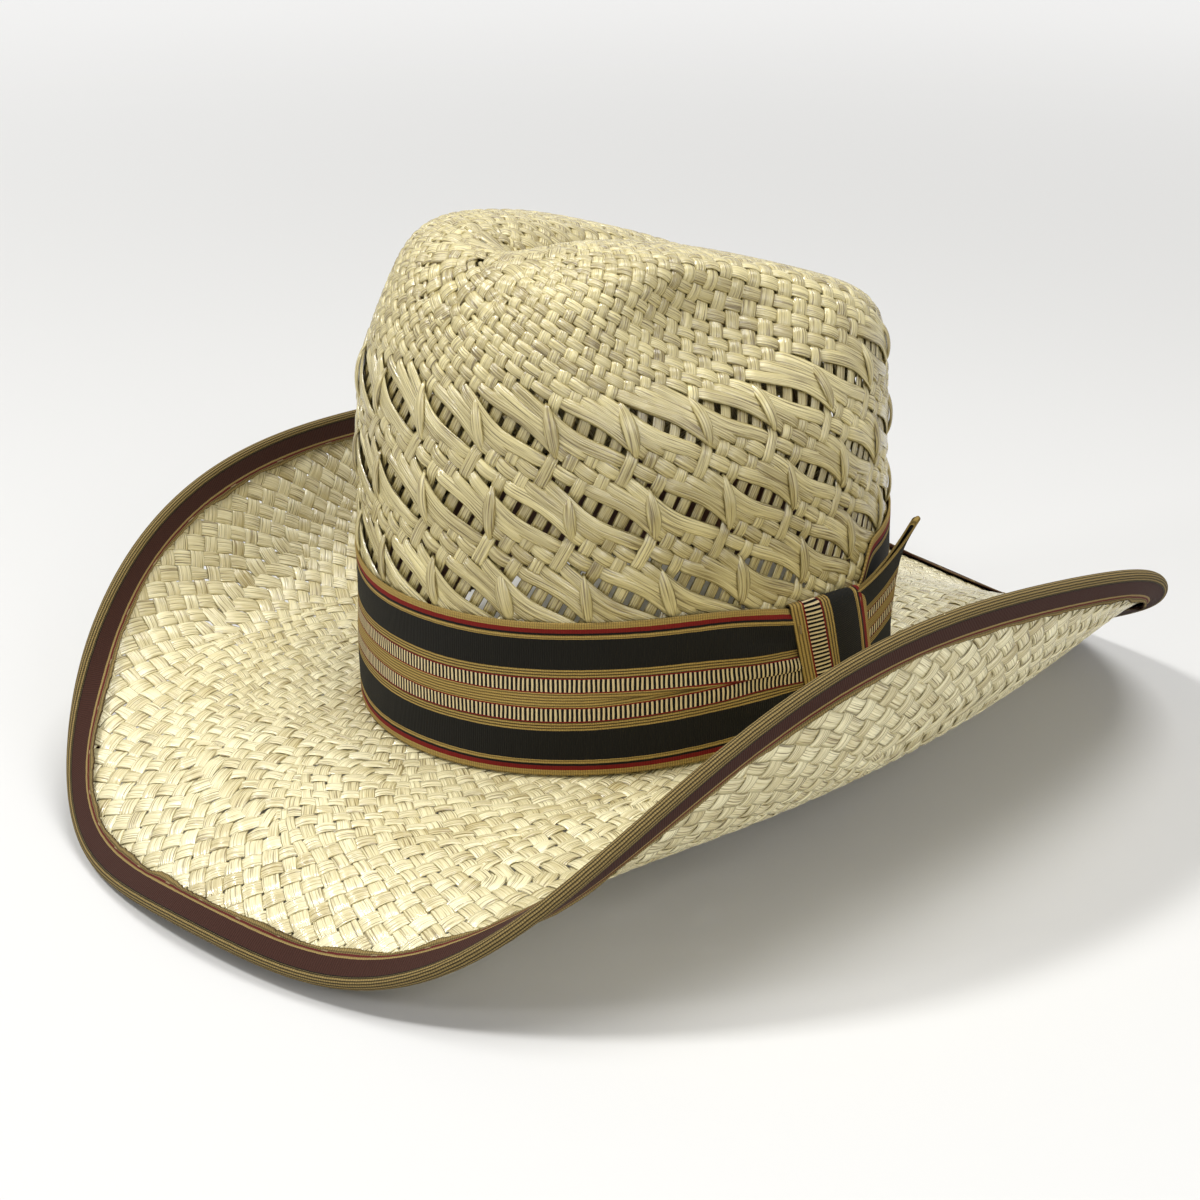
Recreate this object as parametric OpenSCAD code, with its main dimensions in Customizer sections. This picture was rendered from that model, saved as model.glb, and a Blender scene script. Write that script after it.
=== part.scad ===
// Western straw hat: woven crown and brim, bound and wired edge, striped hat band with a
// bow on the wearer's left, and a leather sweatband sewn in on a reed.
// Millimetres. +Z up, front of the hat -Y, wearer's left +X. The origin is the centre of the
// head opening, at the line where the crown turns into the brim. The hat stands on the low
// front and back of its brim, so everything is turned by the seat tilt about the X axis.

/* [Head opening] */
// Crown half width at the brim, outside the straw
head_side = 83.3; // [76:0.1:92]
// From the origin to the front of the crown at the brim
head_front = 101.8; // [94:0.1:110]
// From the origin to the back of the crown at the brim
head_back = 95.2; // [88:0.1:104]
// Tilt that sets the front and back of the brim level
seat_tilt = 2.2; // [0:0.1:4]

/* [Crown] */
// Height of the crown at its front, before the corner is rounded
crown_front = 168; // [150:0.5:185]
// Height of the crown at its back, before the corner is rounded
crown_back = 113; // [100:0.5:150]
// Extra height halfway between front and back
crown_arch = 11.5; // [0:0.5:15]
// Squareness of the front corner of the crown
corner_front = 4.3; // [3:0.1:10]
// Squareness of the back corner of the crown
corner_back = 16.5; // [4:0.1:18]
// Part of the length lost at the front by a reference height
taper_front = 0.085; // [0:0.001:0.15]
// Part of the length lost at the back by a reference height
taper_back = -0.02; // [-0.05:0.001:0.15]
// Forward lean of the crown at the reference height
lean_forward = 4.6; // [0:0.1:8]
// Lean of the crown to the wearer's left at the reference height
lean_left = 2; // [-4:0.1:4]
// Depth of the centre crease
crease_depth = 21.5; // [8:0.1:30]
// Half width of the centre crease
crease_width = 13.5; // [10:0.1:26]
// Front end of the crease
crease_start = -47.3; // [-65:0.1:-30]
// Back end of the crease
crease_end = 78; // [50:0.5:85]
// How far each side dent is pushed in at its deepest
dent_depth = 24; // [0:0.5:42]
// Place of the side dents along the crown
dent_place = -28; // [-45:0.5:-10]
// Height of the middle of the side dents
dent_height = 140; // [120:0.5:150]
// Half length of a side dent
dent_length = 44; // [20:0.5:55]
// Half height of a side dent
dent_reach = 22; // [14:0.5:30]

/* [Brim edge in plan] */
// Half width of the brim edge
edge_side = 157.9; // [140:0.1:170]
// Squareness of the sides of the edge
edge_side_square = 4.6; // [0:0.1:9]
// Fine trim of the sides of the edge
edge_side_trim = -1.1; // [-3:0.1:3]
// Shift of the edge to the back
edge_shift = 3.3; // [-5:0.1:10]
// Half length of the brim edge
edge_length = 208.7; // [195:0.1:220]
// How much fuller the front is than the back
edge_front_full = -9; // [-14:0.1:0]
// Bluntness of the front and back of the edge
edge_blunt = 10.4; // [4:0.1:14]
// Fine trim of the length of the edge
edge_length_trim = 2.4; // [-3:0.1:4]

/* [Brim edge height] */
// Mean height of the edge
rise_mean = 11.1; // [0:0.1:20]
// Rise of the front over the back
rise_front = 7.6; // [-5:0.1:12]
// Curl: how far the sides rise and the front and back drop
rise_curl = 46; // [25:0.1:52]
// Shift of the curl along the brim
rise_shift = -2.7; // [-6:0.1:6]
// Flatness of the top of the curl
rise_flat = 3.1; // [0:0.1:6]
// Shift of the corners along the brim
rise_corner_shift = 3.5; // [0:0.1:5]
// Sharpness of the four corners
rise_corner = 4.3; // [0:0.1:6]
// How much higher the wearer's left side curls than the right
rise_left = 1.6; // [0:0.1:8]
// Twist that lifts the front of the left side and the back of the right side
rise_twist = 6; // [0:0.1:8]
// Fine trim of the left side against the right
rise_left_trim = -2.6; // [-5:0.1:5]

/* [Brim section] */
// Mean curl power: 1 is a straight slope, higher keeps the brim flat further out
curl_power = 3.8; // [2.4:0.1:4.4]
// How much higher the power is at the front than at the back
curl_power_front = 1.3; // [0:0.1:1.5]
// How much higher the power is at the sides
curl_power_side = 1.1; // [0:0.1:1.3]
// Thickness of the woven straw
straw_thick = 2.2; // [1.4:0.1:2.6]

/* [Brim binding] */
// Width of the binding on each face of the brim
binding_width = 12.5; // [8:0.1:16]
// Thickness of the binding ribbon
binding_thick = 0.6; // [0.4:0.05:0.9]
// Diameter of the wire in the fold
wire_dia = 1.2; // [0.8:0.1:1.3]
// Length of the sleeve that joins the ends of the wire
sleeve_length = 8; // [5:0.5:9]
// Number of stitches that hold the binding
binding_stitch_count = 60; // [24:4:80]
// Diameter of the sewing thread
thread_dia = 0.6; // [0.4:0.05:0.8]

/* [Hat band] */
// Height of the ribbon round the crown
band_width = 52.3; // [38:0.1:54]
// How much of that height the knot gathers in
band_gather = 8.5; // [0:0.5:12]
// Thickness of the band ribbon
band_thick = 0.7; // [0.4:0.05:1]
// Front edge of the knot, as an angle from the front of the hat
knot_from = 80; // [60:0.5:95]
// Back edge of the knot, as an angle from the front of the hat
knot_to = 100.5; // [98:0.5:110]
// How far the foot of the knot slants to the back
knot_slant = 4; // [0:0.5:8]
// Thickness of the folded ribbon of the knot
knot_thick = 1.2; // [0.8:0.1:1.6]
// Back end of the bow loop, as an angle from the front of the hat
loop_to = 119; // [112:0.5:126]
// How far the top corner of the loop flares off the crown
loop_flare_top = 10; // [6:0.5:14]
// How far the foot of the loop flares off the crown
loop_flare_foot = 3; // [1:0.5:6]
// How far the two layers of the loop stand apart at its free end
loop_open = 1.6; // [0.4:0.1:3]
// How far the top corner of the loop rises over the knot
loop_rise = 13.5; // [8:0.5:18]

/* [Sweatband] */
// Height of the leather inside the crown
sweat_height = 38; // [28:0.5:45]
// Thickness of the leather
sweat_thick = 1.2; // [0.8:0.1:1.6]
// Diameter of the reed in its tape
reed_dia = 2.6; // [2:0.1:3.2]
// Number of stitches along the reed
sweat_stitch_count = 60; // [24:4:80]
// Width of the small bow on the back seam
seam_bow_width = 22; // [14:1:30]

/* [Hidden] */

steps = 90;                       // divisions round the hat
wall_height = 102;                // where the wall of the crown ends and its top begins
wall_rows = 8;                    // divisions up the wall
top_rows = 14;                    // divisions over the top
brim_rows = 11;                   // divisions of the brim from the crown to the binding
row_ease = 1.5;                   // how much closer they get towards the binding
taper_height = 140;               // height at which taper and lean are given
dent_scale = 70;                  // crown half width at which the dent has its full depth
crease_ramp_front = 8;            // length over which the crease sinks at its front end
crease_ramp_back = 12;            // length over which the crease rises at its back end
crease_from = 0.75;               // part of the crown height below which nothing is creased
fit = 0.1;                        // gap between layers that lie on each other
fold_gap = 2;                     // how far the inside of the fold stands past the straw
inner_wall = -straw_thick - 0.3;  // face of the sweatband towards the straw
reed_height = reed_dia / 2 + 0.2; // height of the middle of the reed
sweat_foot = reed_dia + 0.25;     // lower edge of the leather, on top of the reed
band_foot = 0.6;                  // lower edge of the band, just over the brim
gather_middle = 89;               // where the band is gathered most, as an angle from the front
gather_spread = 15;               // half width of the gather, in degrees
knot_top_front = 48;              // height of the front corner of the knot
knot_top_back = 44.5;             // height of its back corner
wire_gap = 0.15;                  // half the gap between the ends of the wire, in degrees
stitch_turn = 1.2;                // length of a binding stitch, in degrees
sweat_stitch_turn = 2.4;          // length of a sweatband stitch, in degrees
loop_from = knot_from + 8.5;      // front end of the bow loop, under the knot
loop_leaves = 0.42;               // share of the loop's length that the knot holds to the crown
loop_inner = fit + band_thick * 1.5 + 0.15; // middle of the inner layer of the loop at the knot
loop_outer = loop_inner + band_thick + 0.15; // middle of its outer layer
knot_under = loop_outer + band_thick / 2 + 0.1; // inner face of the knot over the loop
turns = [for (k = [0:steps - 1]) 360 * k / steps];

// ---- small helpers ----

function level(p) = [p[0], p[1] * cos(seat_tilt) - p[2] * sin(seat_tilt),
                     p[2] * cos(seat_tilt) + p[1] * sin(seat_tilt)];
function mix(a, b, w) = a * (1 - w) + b * w;
function clip(v, low, high) = min(max(v, low), high);
function step_up(v, ramp) = 1 / (1 + exp(-v / ramp));
function unit(v) = v / norm(v);
function front_share(t) = (1 + cos(t)) / 2;
function reversed(list) = [for (k = [len(list) - 1:-1:0]) list[k]];

// ---- crown surface: t runs round from the front, q from 0 at the brim to 90 at the top ----

function top_height(f, off) = crown_front * (1 + f) / 2 + crown_back * (1 - f) / 2
                              + crown_arch * (1 - f * f) + off;
function corner(t) = mix(corner_back, corner_front, front_share(t));
function box_reach(t, q) = pow(pow(cos(q), corner(t)) + pow(sin(q), corner(t)), -1 / corner(t));
function half_length(t, off) = (cos(t) > 0 ? head_front : head_back) + off;
function crease(x, y, lift) = crease_depth * exp(-pow(x / crease_width, 2))
    * step_up(y - crease_start, crease_ramp_front) * step_up(crease_end - y, crease_ramp_back)
    * pow(clip((lift - crease_from) / (1 - crease_from), 0, 1), 2);
function dent(y, z) = dent_depth / dent_scale
    * exp(-pow((y - dent_place) / dent_length, 2) - pow((z - dent_height) / dent_reach, 2));

function crown_point(t, q, off) =
    let (out = box_reach(t, q) * cos(q), lift = box_reach(t, q) * sin(q),
         z0 = top_height(cos(t) * out, off) * lift,
         h = z0 / taper_height,
         y = -half_length(t, off) * cos(t) * out
             * (1 - mix(taper_back, taper_front, front_share(t)) * h) - lean_forward * h,
         x = (head_side + off) * sin(t) * out + lean_left * h,
         z = z0 - crease(x, y, lift))
    [x * (1 - dent(y, z)), y, z];

// Angle q at which the crown wall is at height z
function wall_q(t, z) =
    let (lift = z / top_height(cos(t), 0), out = pow(1 - pow(lift, corner(t)), 1 / corner(t)))
    atan2(lift, out);
function wall_point(t, z, off) =
    let (p = crown_point(t, wall_q(t, max(z, 0)), off)) [p[0], p[1], z];

// ---- brim surface: u runs from 0 at the crown to 1 at the edge ----

function edge_point(t) = [
    edge_side * sin(t) + edge_side_square * sin(3 * t) + edge_side_trim * sin(5 * t),
    edge_shift - edge_length * cos(t) + edge_front_full * cos(2 * t) + edge_blunt * cos(3 * t)
        + edge_length_trim * cos(4 * t),
    rise_mean + rise_front * cos(t) - rise_curl * cos(2 * t) + rise_shift * cos(3 * t)
        + rise_flat * cos(4 * t) + rise_corner_shift * cos(5 * t) + rise_corner * cos(6 * t)
        + rise_left * sin(t) + rise_twist * sin(2 * t) + rise_left_trim * sin(3 * t)];
function curl(t) = curl_power + curl_power_front * cos(t) - curl_power_side * cos(2 * t);
function brim_root(t) = [(head_side - straw_thick) * sin(t),
                         -half_length(t, -straw_thick) * cos(t), 0];
function brim_top(t, u) =
    let (a = brim_root(t), b = edge_point(t))
    [mix(a[0], b[0], u), mix(a[1], b[1], u), b[2] * pow(u, curl(t))];
function brim_out(t, u) = unit(brim_top(t, u + 0.01) - brim_top(t, u));
function brim_normal(t, u) =
    unit(cross(brim_top(t, u + 0.01) - brim_top(t, u), brim_top(t + 0.5, u) - brim_top(t - 0.5, u)));
// A point off the middle of the straw, "up" along the normal and "past" along the brim
function brim_place(t, u, up, past) =
    brim_top(t, u) + brim_normal(t, u) * (up - straw_thick / 2) + brim_out(t, u) * past;
// Share of the brim's width at a distance in from the edge, measured along the curl
function edge_speed(t, u) = norm(brim_top(t, 1) - brim_top(t, u)) / (1 - u);
function from_edge(t, d) =
    d == 0 ? 1 : let (near = 1 - d / edge_speed(t, 0.99)) 1 - d / edge_speed(t, near);

// ---- solids from rings of points ----

function quads(k, n) = [for (j = [0:n - 1]) let (m = (j + 1) % n)
    each [[k * n + j, k * n + m, (k + 1) * n + m], [k * n + j, (k + 1) * n + m, (k + 1) * n + j]]];

// A ring of sections that closes on itself
module loop_solid(sections) {
    count = len(sections);
    n = len(sections[0]);
    faces = [for (k = [0:count - 1]) let (a = k * n, b = ((k + 1) % count) * n)
        for (j = [0:n - 1]) let (m = (j + 1) % n)
        each [[a + j, a + m, b + m], [a + j, b + m, b + j]]];
    polyhedron(points = [for (s = sections) each s], faces = faces, convexity = 8);
}

// A row of sections with flat ends
module row_solid(sections) {
    count = len(sections);
    n = len(sections[0]);
    last = (count - 1) * n;
    half = n / 2;
    near = [for (j = [0:half - 2]) each [[j, n - 1 - j, n - 2 - j], [j, n - 2 - j, j + 1]]];
    far = [for (f = near) [f[2] + last, f[1] + last, f[0] + last]];
    faces = concat([for (k = [0:count - 2]) each quads(k, n)], near, far);
    polyhedron(points = [for (s = sections) each s], faces = faces, convexity = 8);
}

// A round cord along a row of points
module cord(middle, dia, sides) {
    last = len(middle) - 1;
    row_solid([for (k = [0:last])
        let (ahead = unit(middle[min(k + 1, last)] - middle[max(k - 1, 0)]),
             side = unit(cross(ahead, [0, 0, 1])), over = cross(side, ahead))
        [for (j = [0:sides - 1])
            let (a = -360 * j / sides) middle[k] + (side * cos(a) + over * sin(a)) * dia / 2]]);
}

// One stitch: a straight piece of thread between two points
module stitch(a, b, dia) {
    run = b - a;
    translate(a)
        rotate([0, acos(run[2] / norm(run)), atan2(run[1], run[0])])
            cylinder(h = norm(run), d = dia, $fn = 16);
}

// ---- woven straw ----

// A skin of straw over rows of points: "open" leaves a rim at the top, otherwise it closes
module straw_skin(outer, inner, open, apex) {
    rows = len(outer);
    far = rows * steps;
    last = far - steps;
    next = function(j) (j + 1) % steps;
    wall = [for (k = [0:rows - 2]) each quads(k, steps)];
    lining = [for (f = wall) [f[2] + far, f[1] + far, f[0] + far]];
    rim = [for (j = [0:steps - 1]) each open
        ? [[last + j, last + next(j), last + far + j], [last + next(j), last + far + next(j), last + far + j]]
        : [[last + j, last + next(j), 2 * far], [last + far + next(j), last + far + j, 2 * far + 1]]];
    foot = [for (j = [0:steps - 1])
        each [[next(j), j, far + j], [next(j), far + j, far + next(j)]]];
    polyhedron(points = concat([for (r = outer) each r], [for (r = inner) each r], open ? [] : apex),
               faces = concat(wall, lining, rim, foot), convexity = 10);
}

function wall_row(z, off) = [for (t = turns) level(wall_point(t, z, off))];
function top_row(share, off) =
    [for (t = turns) level(crown_point(t, mix(wall_q(t, wall_height), 90, share), off))];

module crown_wall() {
    heights = [for (k = [0:wall_rows]) wall_height * k / wall_rows];
    color("wheat")
        straw_skin([for (z = heights) wall_row(z, 0)], [for (z = heights) wall_row(z, -straw_thick)],
                   true, []);
}

module crown_top() {
    shares = [for (k = [0:top_rows - 1]) k / top_rows];
    outer = concat([wall_row(wall_height, 0)], [for (k = [1:top_rows - 1]) top_row(shares[k], 0)]);
    inner = concat([wall_row(wall_height, -straw_thick)],
                   [for (k = [1:top_rows - 1]) top_row(shares[k], -straw_thick)]);
    color("wheat")
        straw_skin(outer, inner, false,
                   [level(crown_point(0, 90, 0)), level(crown_point(0, 90, -straw_thick))]);
}

function brim_line(t, up) =
    let (reach = from_edge(t, binding_width))
    [for (u = concat([for (k = [0:brim_rows]) reach * (1 - pow(1 - k / brim_rows, row_ease))],
                     [from_edge(t, binding_width / 2), 1])) level(brim_place(t, u, up, 0))];

module brim() {
    color("wheat")
        loop_solid([for (t = turns) concat(brim_line(t, straw_thick / 2),
                                           reversed(brim_line(t, -straw_thick / 2)))]);
}

// ---- edge of the brim ----

function binding_side(t, up) =
    [for (d = [binding_width, binding_width / 2, 0]) level(brim_place(t, from_edge(t, d), up, 0))];

module brim_binding() {
    inside = straw_thick / 2 + fit;
    outside = inside + binding_thick;
    color("saddlebrown")
        loop_solid([for (t = turns) concat(
            binding_side(t, outside),
            [level(brim_place(t, 1, outside * 0.75, fold_gap + binding_thick * 0.6)),
             level(brim_place(t, 1, 0, fold_gap + binding_thick)),
             level(brim_place(t, 1, -outside * 0.75, fold_gap + binding_thick * 0.6))],
            reversed(binding_side(t, -outside)),
            binding_side(t, -inside),
            [level(brim_place(t, 1, -inside * 0.72, fold_gap)),
             level(brim_place(t, 1, inside * 0.72, fold_gap))],
            reversed(binding_side(t, inside)))]);
}

function wire_point(t) = level(brim_place(t, 1, 0, fold_gap / 2));
wire_turns = [for (k = [0:steps]) mix(180 + wire_gap, 540 - wire_gap, k / steps)];

// The wire is one length whose ends meet in the sleeve at the back
module brim_wire() {
    color("silver") cord([for (t = wire_turns) wire_point(t)], wire_dia, 6);
}

module wire_sleeve() {
    color("gray")
        translate(wire_point(180)) rotate([0, 90, 0])
            difference() {
                cylinder(h = sleeve_length, d = wire_dia + 0.6, center = true, $fn = 32);
                cylinder(h = sleeve_length + 1, d = wire_dia + 0.2, center = true, $fn = 32);
            }
}

module binding_stitches() {
    up = straw_thick / 2 + fit + binding_thick + thread_dia / 2 + 0.05;
    in_by = binding_width - 1.2;
    color("tan")
        for (k = [0:binding_stitch_count - 1]) {
            t = 360 * k / binding_stitch_count;
            stitch(level(brim_place(t, from_edge(t, in_by), up, 0)),
                   level(brim_place(t + stitch_turn, from_edge(t + stitch_turn, in_by), up, 0)),
                   thread_dia);
        }
}

// ---- hat band and bow ----

function wall_line(t, heights, off) = [for (z = heights) level(wall_point(t, z, off))];

// A ring that lies along the crown wall between two offsets
module wall_ring(heights, off_in, off_out) {
    loop_solid([for (t = turns)
        concat(wall_line(t, heights, off_out), reversed(wall_line(t, heights, off_in)))]);
}

function band_top(t) =
    band_foot + band_width - band_gather * exp(-pow((t - gather_middle) / gather_spread, 2));
function band_line(t, off) =
    [for (k = [0:3]) level(wall_point(t, mix(band_foot, band_top(t), k / 3), off))];

module band_ribbon() {
    color("darkolivegreen")
        loop_solid([for (t = turns)
            concat(band_line(t, fit + band_thick), reversed(band_line(t, fit)))]);
}

// Place on the bow loop: w runs from the knot to the free end, v up the ribbon. Past the knot
// it leaves the crown, and its outer layer, for which "out" is 1, also leaves the inner one.
function loop_free(w) = pow(max(w - loop_leaves, 0) / (1 - loop_leaves), 1.3);
function loop_off(w, v, lie, out) =
    lie + (mix(loop_flare_foot, loop_flare_top, v) + loop_open * out) * loop_free(w);
function loop_height(w, v) =
    mix(band_foot + 1 + 7 * w, knot_top(1) - 0.5 + loop_rise * pow(w, 3), v);
function loop_place(w, v, lie, out) =
    level(wall_point(mix(loop_from, loop_to, w), loop_height(w, v), loop_off(w, v, lie, out)));
function loop_face(w, lie, out, ups) = [for (v = ups) loop_place(w, v, lie, out)];

// One length of ribbon that runs back from the knot, folds and returns
module bow_loop() {
    ways = [for (k = [0:8]) k / 8];
    half = band_thick / 2;
    middle = (loop_inner + loop_outer) / 2;
    down = [1, 0.75, 0.5, 0.25, 0];
    up = reversed(down);
    color("olivedrab")
        row_solid(concat(
            [for (w = ways) concat(loop_face(w, loop_inner - half, 0, down),
                                   loop_face(w, loop_inner + half, 0, up))],
            [concat(loop_face(1.06, middle, 0.5, down), loop_face(1.03, middle, 0.5, up))],
            [for (w = reversed(ways)) concat(loop_face(w, loop_outer + half, 1, down),
                                             loop_face(w, loop_outer - half, 1, up))]));
}

function knot_top(s) = mix(knot_top_front, knot_top_back, s);
function knot_turn(s, z) = mix(knot_from, knot_to, s) + knot_slant * (1 - z / band_width);
function knot_off(s) = mix(fit + band_thick + 0.15, knot_under, pow(sin(90 * min(s / 0.3, 1)), 2));
function knot_line(v, extra) = [for (s = [0, 0.15, 0.3, 0.55, 0.8, 1])
    let (z = mix(band_foot + 0.5, knot_top(s), v))
    level(wall_point(knot_turn(s, z), z, knot_off(s) + extra))];

module bow_knot() {
    shares = [for (k = [0:6]) k / 6];
    color("goldenrod")
        row_solid([for (v = shares) concat(knot_line(v, knot_thick), reversed(knot_line(v, 0)))]);
}

// Four small tacking stitches that hold the knot
module bow_tacks() {
    off = knot_thick + thread_dia / 2 + 0.1;
    color("ivory")
        for (s = [0.08, 0.92], z = [8, 36])
            stitch(level(wall_point(knot_turn(s, z), z, knot_off(s) + off)),
                   level(wall_point(knot_turn(s, z + 3), z + 3, knot_off(s) + off)), thread_dia);
}

// ---- sweatband ----

module sweatband() {
    heights = [for (k = [0:3]) mix(sweat_foot, sweat_height, k / 3)];
    color("sienna") wall_ring(heights, inner_wall - sweat_thick, inner_wall);
}

module sweatband_reed() {
    color("saddlebrown")
        loop_solid([for (t = turns)
            [for (j = [0:7])
                level(wall_point(t, reed_height + reed_dia / 2 * sin(45 * j),
                                 inner_wall - reed_dia / 2 + reed_dia / 2 * cos(45 * j)))]]);
}

module sweatband_stitches() {
    off = inner_wall - sweat_thick - thread_dia / 2 - 0.05;
    z = sweat_foot + 2.4;
    color("ivory")
        for (k = [0:sweat_stitch_count - 1]) {
            t = 360 * k / sweat_stitch_count;
            stitch(level(wall_point(t, z, off)), level(wall_point(t + sweat_stitch_turn, z, off)),
                   thread_dia);
        }
}

// A small flat bow that covers the seam at the back of the leather
module sweatband_seam_bow() {
    lobe = seam_bow_width / 2;
    face = wall_point(180, 16, inner_wall - sweat_thick);
    color("sienna")
        translate(level(face)) rotate([90 + seat_tilt, 0, 0]) {
            for (side = [-1, 1])
                translate([side * lobe / 2, 0, 1]) linear_extrude(height = 0.8) difference() {
                    scale([1, 0.55]) circle(d = lobe, $fn = 48);
                    translate([side * 0.6, 0]) scale([1, 0.4]) circle(d = lobe * 0.62, $fn = 48);
                }
            translate([0, 0, 0.1]) linear_extrude(height = 2.2)
                offset(r = 1) square([2.6, 4.4], center = true);
        }
}

crown_wall();
crown_top();
brim();
brim_binding();
brim_wire();
wire_sleeve();
binding_stitches();
band_ribbon();
bow_loop();
bow_knot();
bow_tacks();
sweatband();
sweatband_reed();
sweatband_stitches();
sweatband_seam_bow();
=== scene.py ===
"""A western straw hat: woven crown and brim, bound edge, striped band with a bow, leather sweatband.

Shapes are worked out in millimetres, upright on the head opening, and then put in the row's frame,
which is tilted a little because the hat stands on the low front and back of its brim.
"""
import logging
import math
from dataclasses import dataclass, field
from enum import Enum

import bpy
import numpy as np
from mathutils import Matrix, Vector


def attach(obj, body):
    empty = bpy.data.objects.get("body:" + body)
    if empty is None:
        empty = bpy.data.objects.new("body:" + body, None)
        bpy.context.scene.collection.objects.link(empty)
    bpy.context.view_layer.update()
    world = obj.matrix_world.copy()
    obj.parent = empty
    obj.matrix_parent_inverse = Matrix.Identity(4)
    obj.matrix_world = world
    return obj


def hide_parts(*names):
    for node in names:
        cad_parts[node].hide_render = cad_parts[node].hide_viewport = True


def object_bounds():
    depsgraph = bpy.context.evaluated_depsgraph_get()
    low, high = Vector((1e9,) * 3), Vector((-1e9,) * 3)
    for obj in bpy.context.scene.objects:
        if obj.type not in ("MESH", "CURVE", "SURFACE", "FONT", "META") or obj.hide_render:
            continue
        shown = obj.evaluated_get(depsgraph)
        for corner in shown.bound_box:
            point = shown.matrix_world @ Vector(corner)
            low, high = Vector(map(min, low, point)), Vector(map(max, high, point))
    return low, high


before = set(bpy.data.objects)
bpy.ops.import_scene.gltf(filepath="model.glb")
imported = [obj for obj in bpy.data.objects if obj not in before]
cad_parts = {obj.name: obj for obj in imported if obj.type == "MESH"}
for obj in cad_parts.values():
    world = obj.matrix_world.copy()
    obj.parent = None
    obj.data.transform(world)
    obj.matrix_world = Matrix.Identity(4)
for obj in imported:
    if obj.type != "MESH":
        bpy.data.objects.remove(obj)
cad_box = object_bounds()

log = logging.getLogger("straw_hat")

Array = np.ndarray
Colour = tuple[float, float, float]
Piece = bpy.types.Object
Socket = bpy.types.NodeSocket
Rng = np.random.Generator

SEAT_TILT = math.radians(2.2)
MM = 0.001
TURN = 2 * math.pi
TINY = 1e-9
FOOT = 1e-4  # the lowest angle and share at which the crown's shape is worked out
SHY = 0.001  # keeps a lookup inside the last cell of its table
COLUMNS = 721
FINE_COLUMNS = 2881


def placed(points: Array) -> Array:
    """Turns upright millimetres into the row's frame.

    Args:
        points: positions or directions, the last axis holding x, y and z.

    Returns:
        The same points tilted by the seat tilt, in metres.
    """
    turned = np.array(points, dtype=float)
    y, z = points[..., 1], points[..., 2]
    turned[..., 1] = y * math.cos(SEAT_TILT) - z * math.sin(SEAT_TILT)
    turned[..., 2] = z * math.cos(SEAT_TILT) + y * math.sin(SEAT_TILT)
    return turned * MM


def unit(vectors: Array) -> Array:
    """Vectors of length one, with no division by zero."""
    return vectors / np.maximum(np.linalg.norm(vectors, axis=-1, keepdims=True), TINY)


def mixed(a: Array | float, b: Array | float, share: Array | float) -> Array | float:
    """The value that lies a share of the way from a to b."""
    return a * (1 - share) + b * share


def eased(value: Array) -> Array:
    """A smooth step from 0 to 1 over values from 0 to 1."""
    v = np.clip(value, 0, 1)
    return v * v * (3 - 2 * v)


def frontness(t: Array) -> Array:
    """1 at the front of the hat and 0 at its back."""
    return (1 + np.cos(t)) / 2


def run_of(points: Array) -> Array:
    """Length run along a line at each of its points."""
    return np.concatenate([[0], np.cumsum(np.linalg.norm(np.diff(points, axis=0), axis=-1))])


def between(table: Array, x: Array, y: Array) -> Array:
    """Values of a table at places counted in its cells, evenly mixed.

    Args:
        table: values at [x, y], or vectors at [x, y, axis].
        x: places along its first axis.
        y: places along its second axis.

    Returns:
        The table's values there.
    """
    i, j = x.astype(int), y.astype(int)
    p, q = x - i, y - j
    if table.ndim == 3:
        p, q = p[..., None], q[..., None]
    low = mixed(table[i, j], table[i + 1, j], p)
    return mixed(low, mixed(table[i, j + 1], table[i + 1, j + 1], p), q)


def drift(rng: Rng, marks: Array, ends: tuple[float, float], count: int, spread: float,
          middle: float = 0.0) -> Array:
    """A slow random change along a strand.

    Args:
        rng: source of the change.
        marks: places along the strand.
        ends: the first and last place that the change covers.
        count: how many values are drawn.
        spread: their spread.
        middle: their middle.

    Returns:
        The change at every mark.
    """
    return np.interp(marks, np.linspace(*ends, count), rng.normal(middle, spread, count))


# ---------------------------------------------------------------- shapes of the straw


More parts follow.
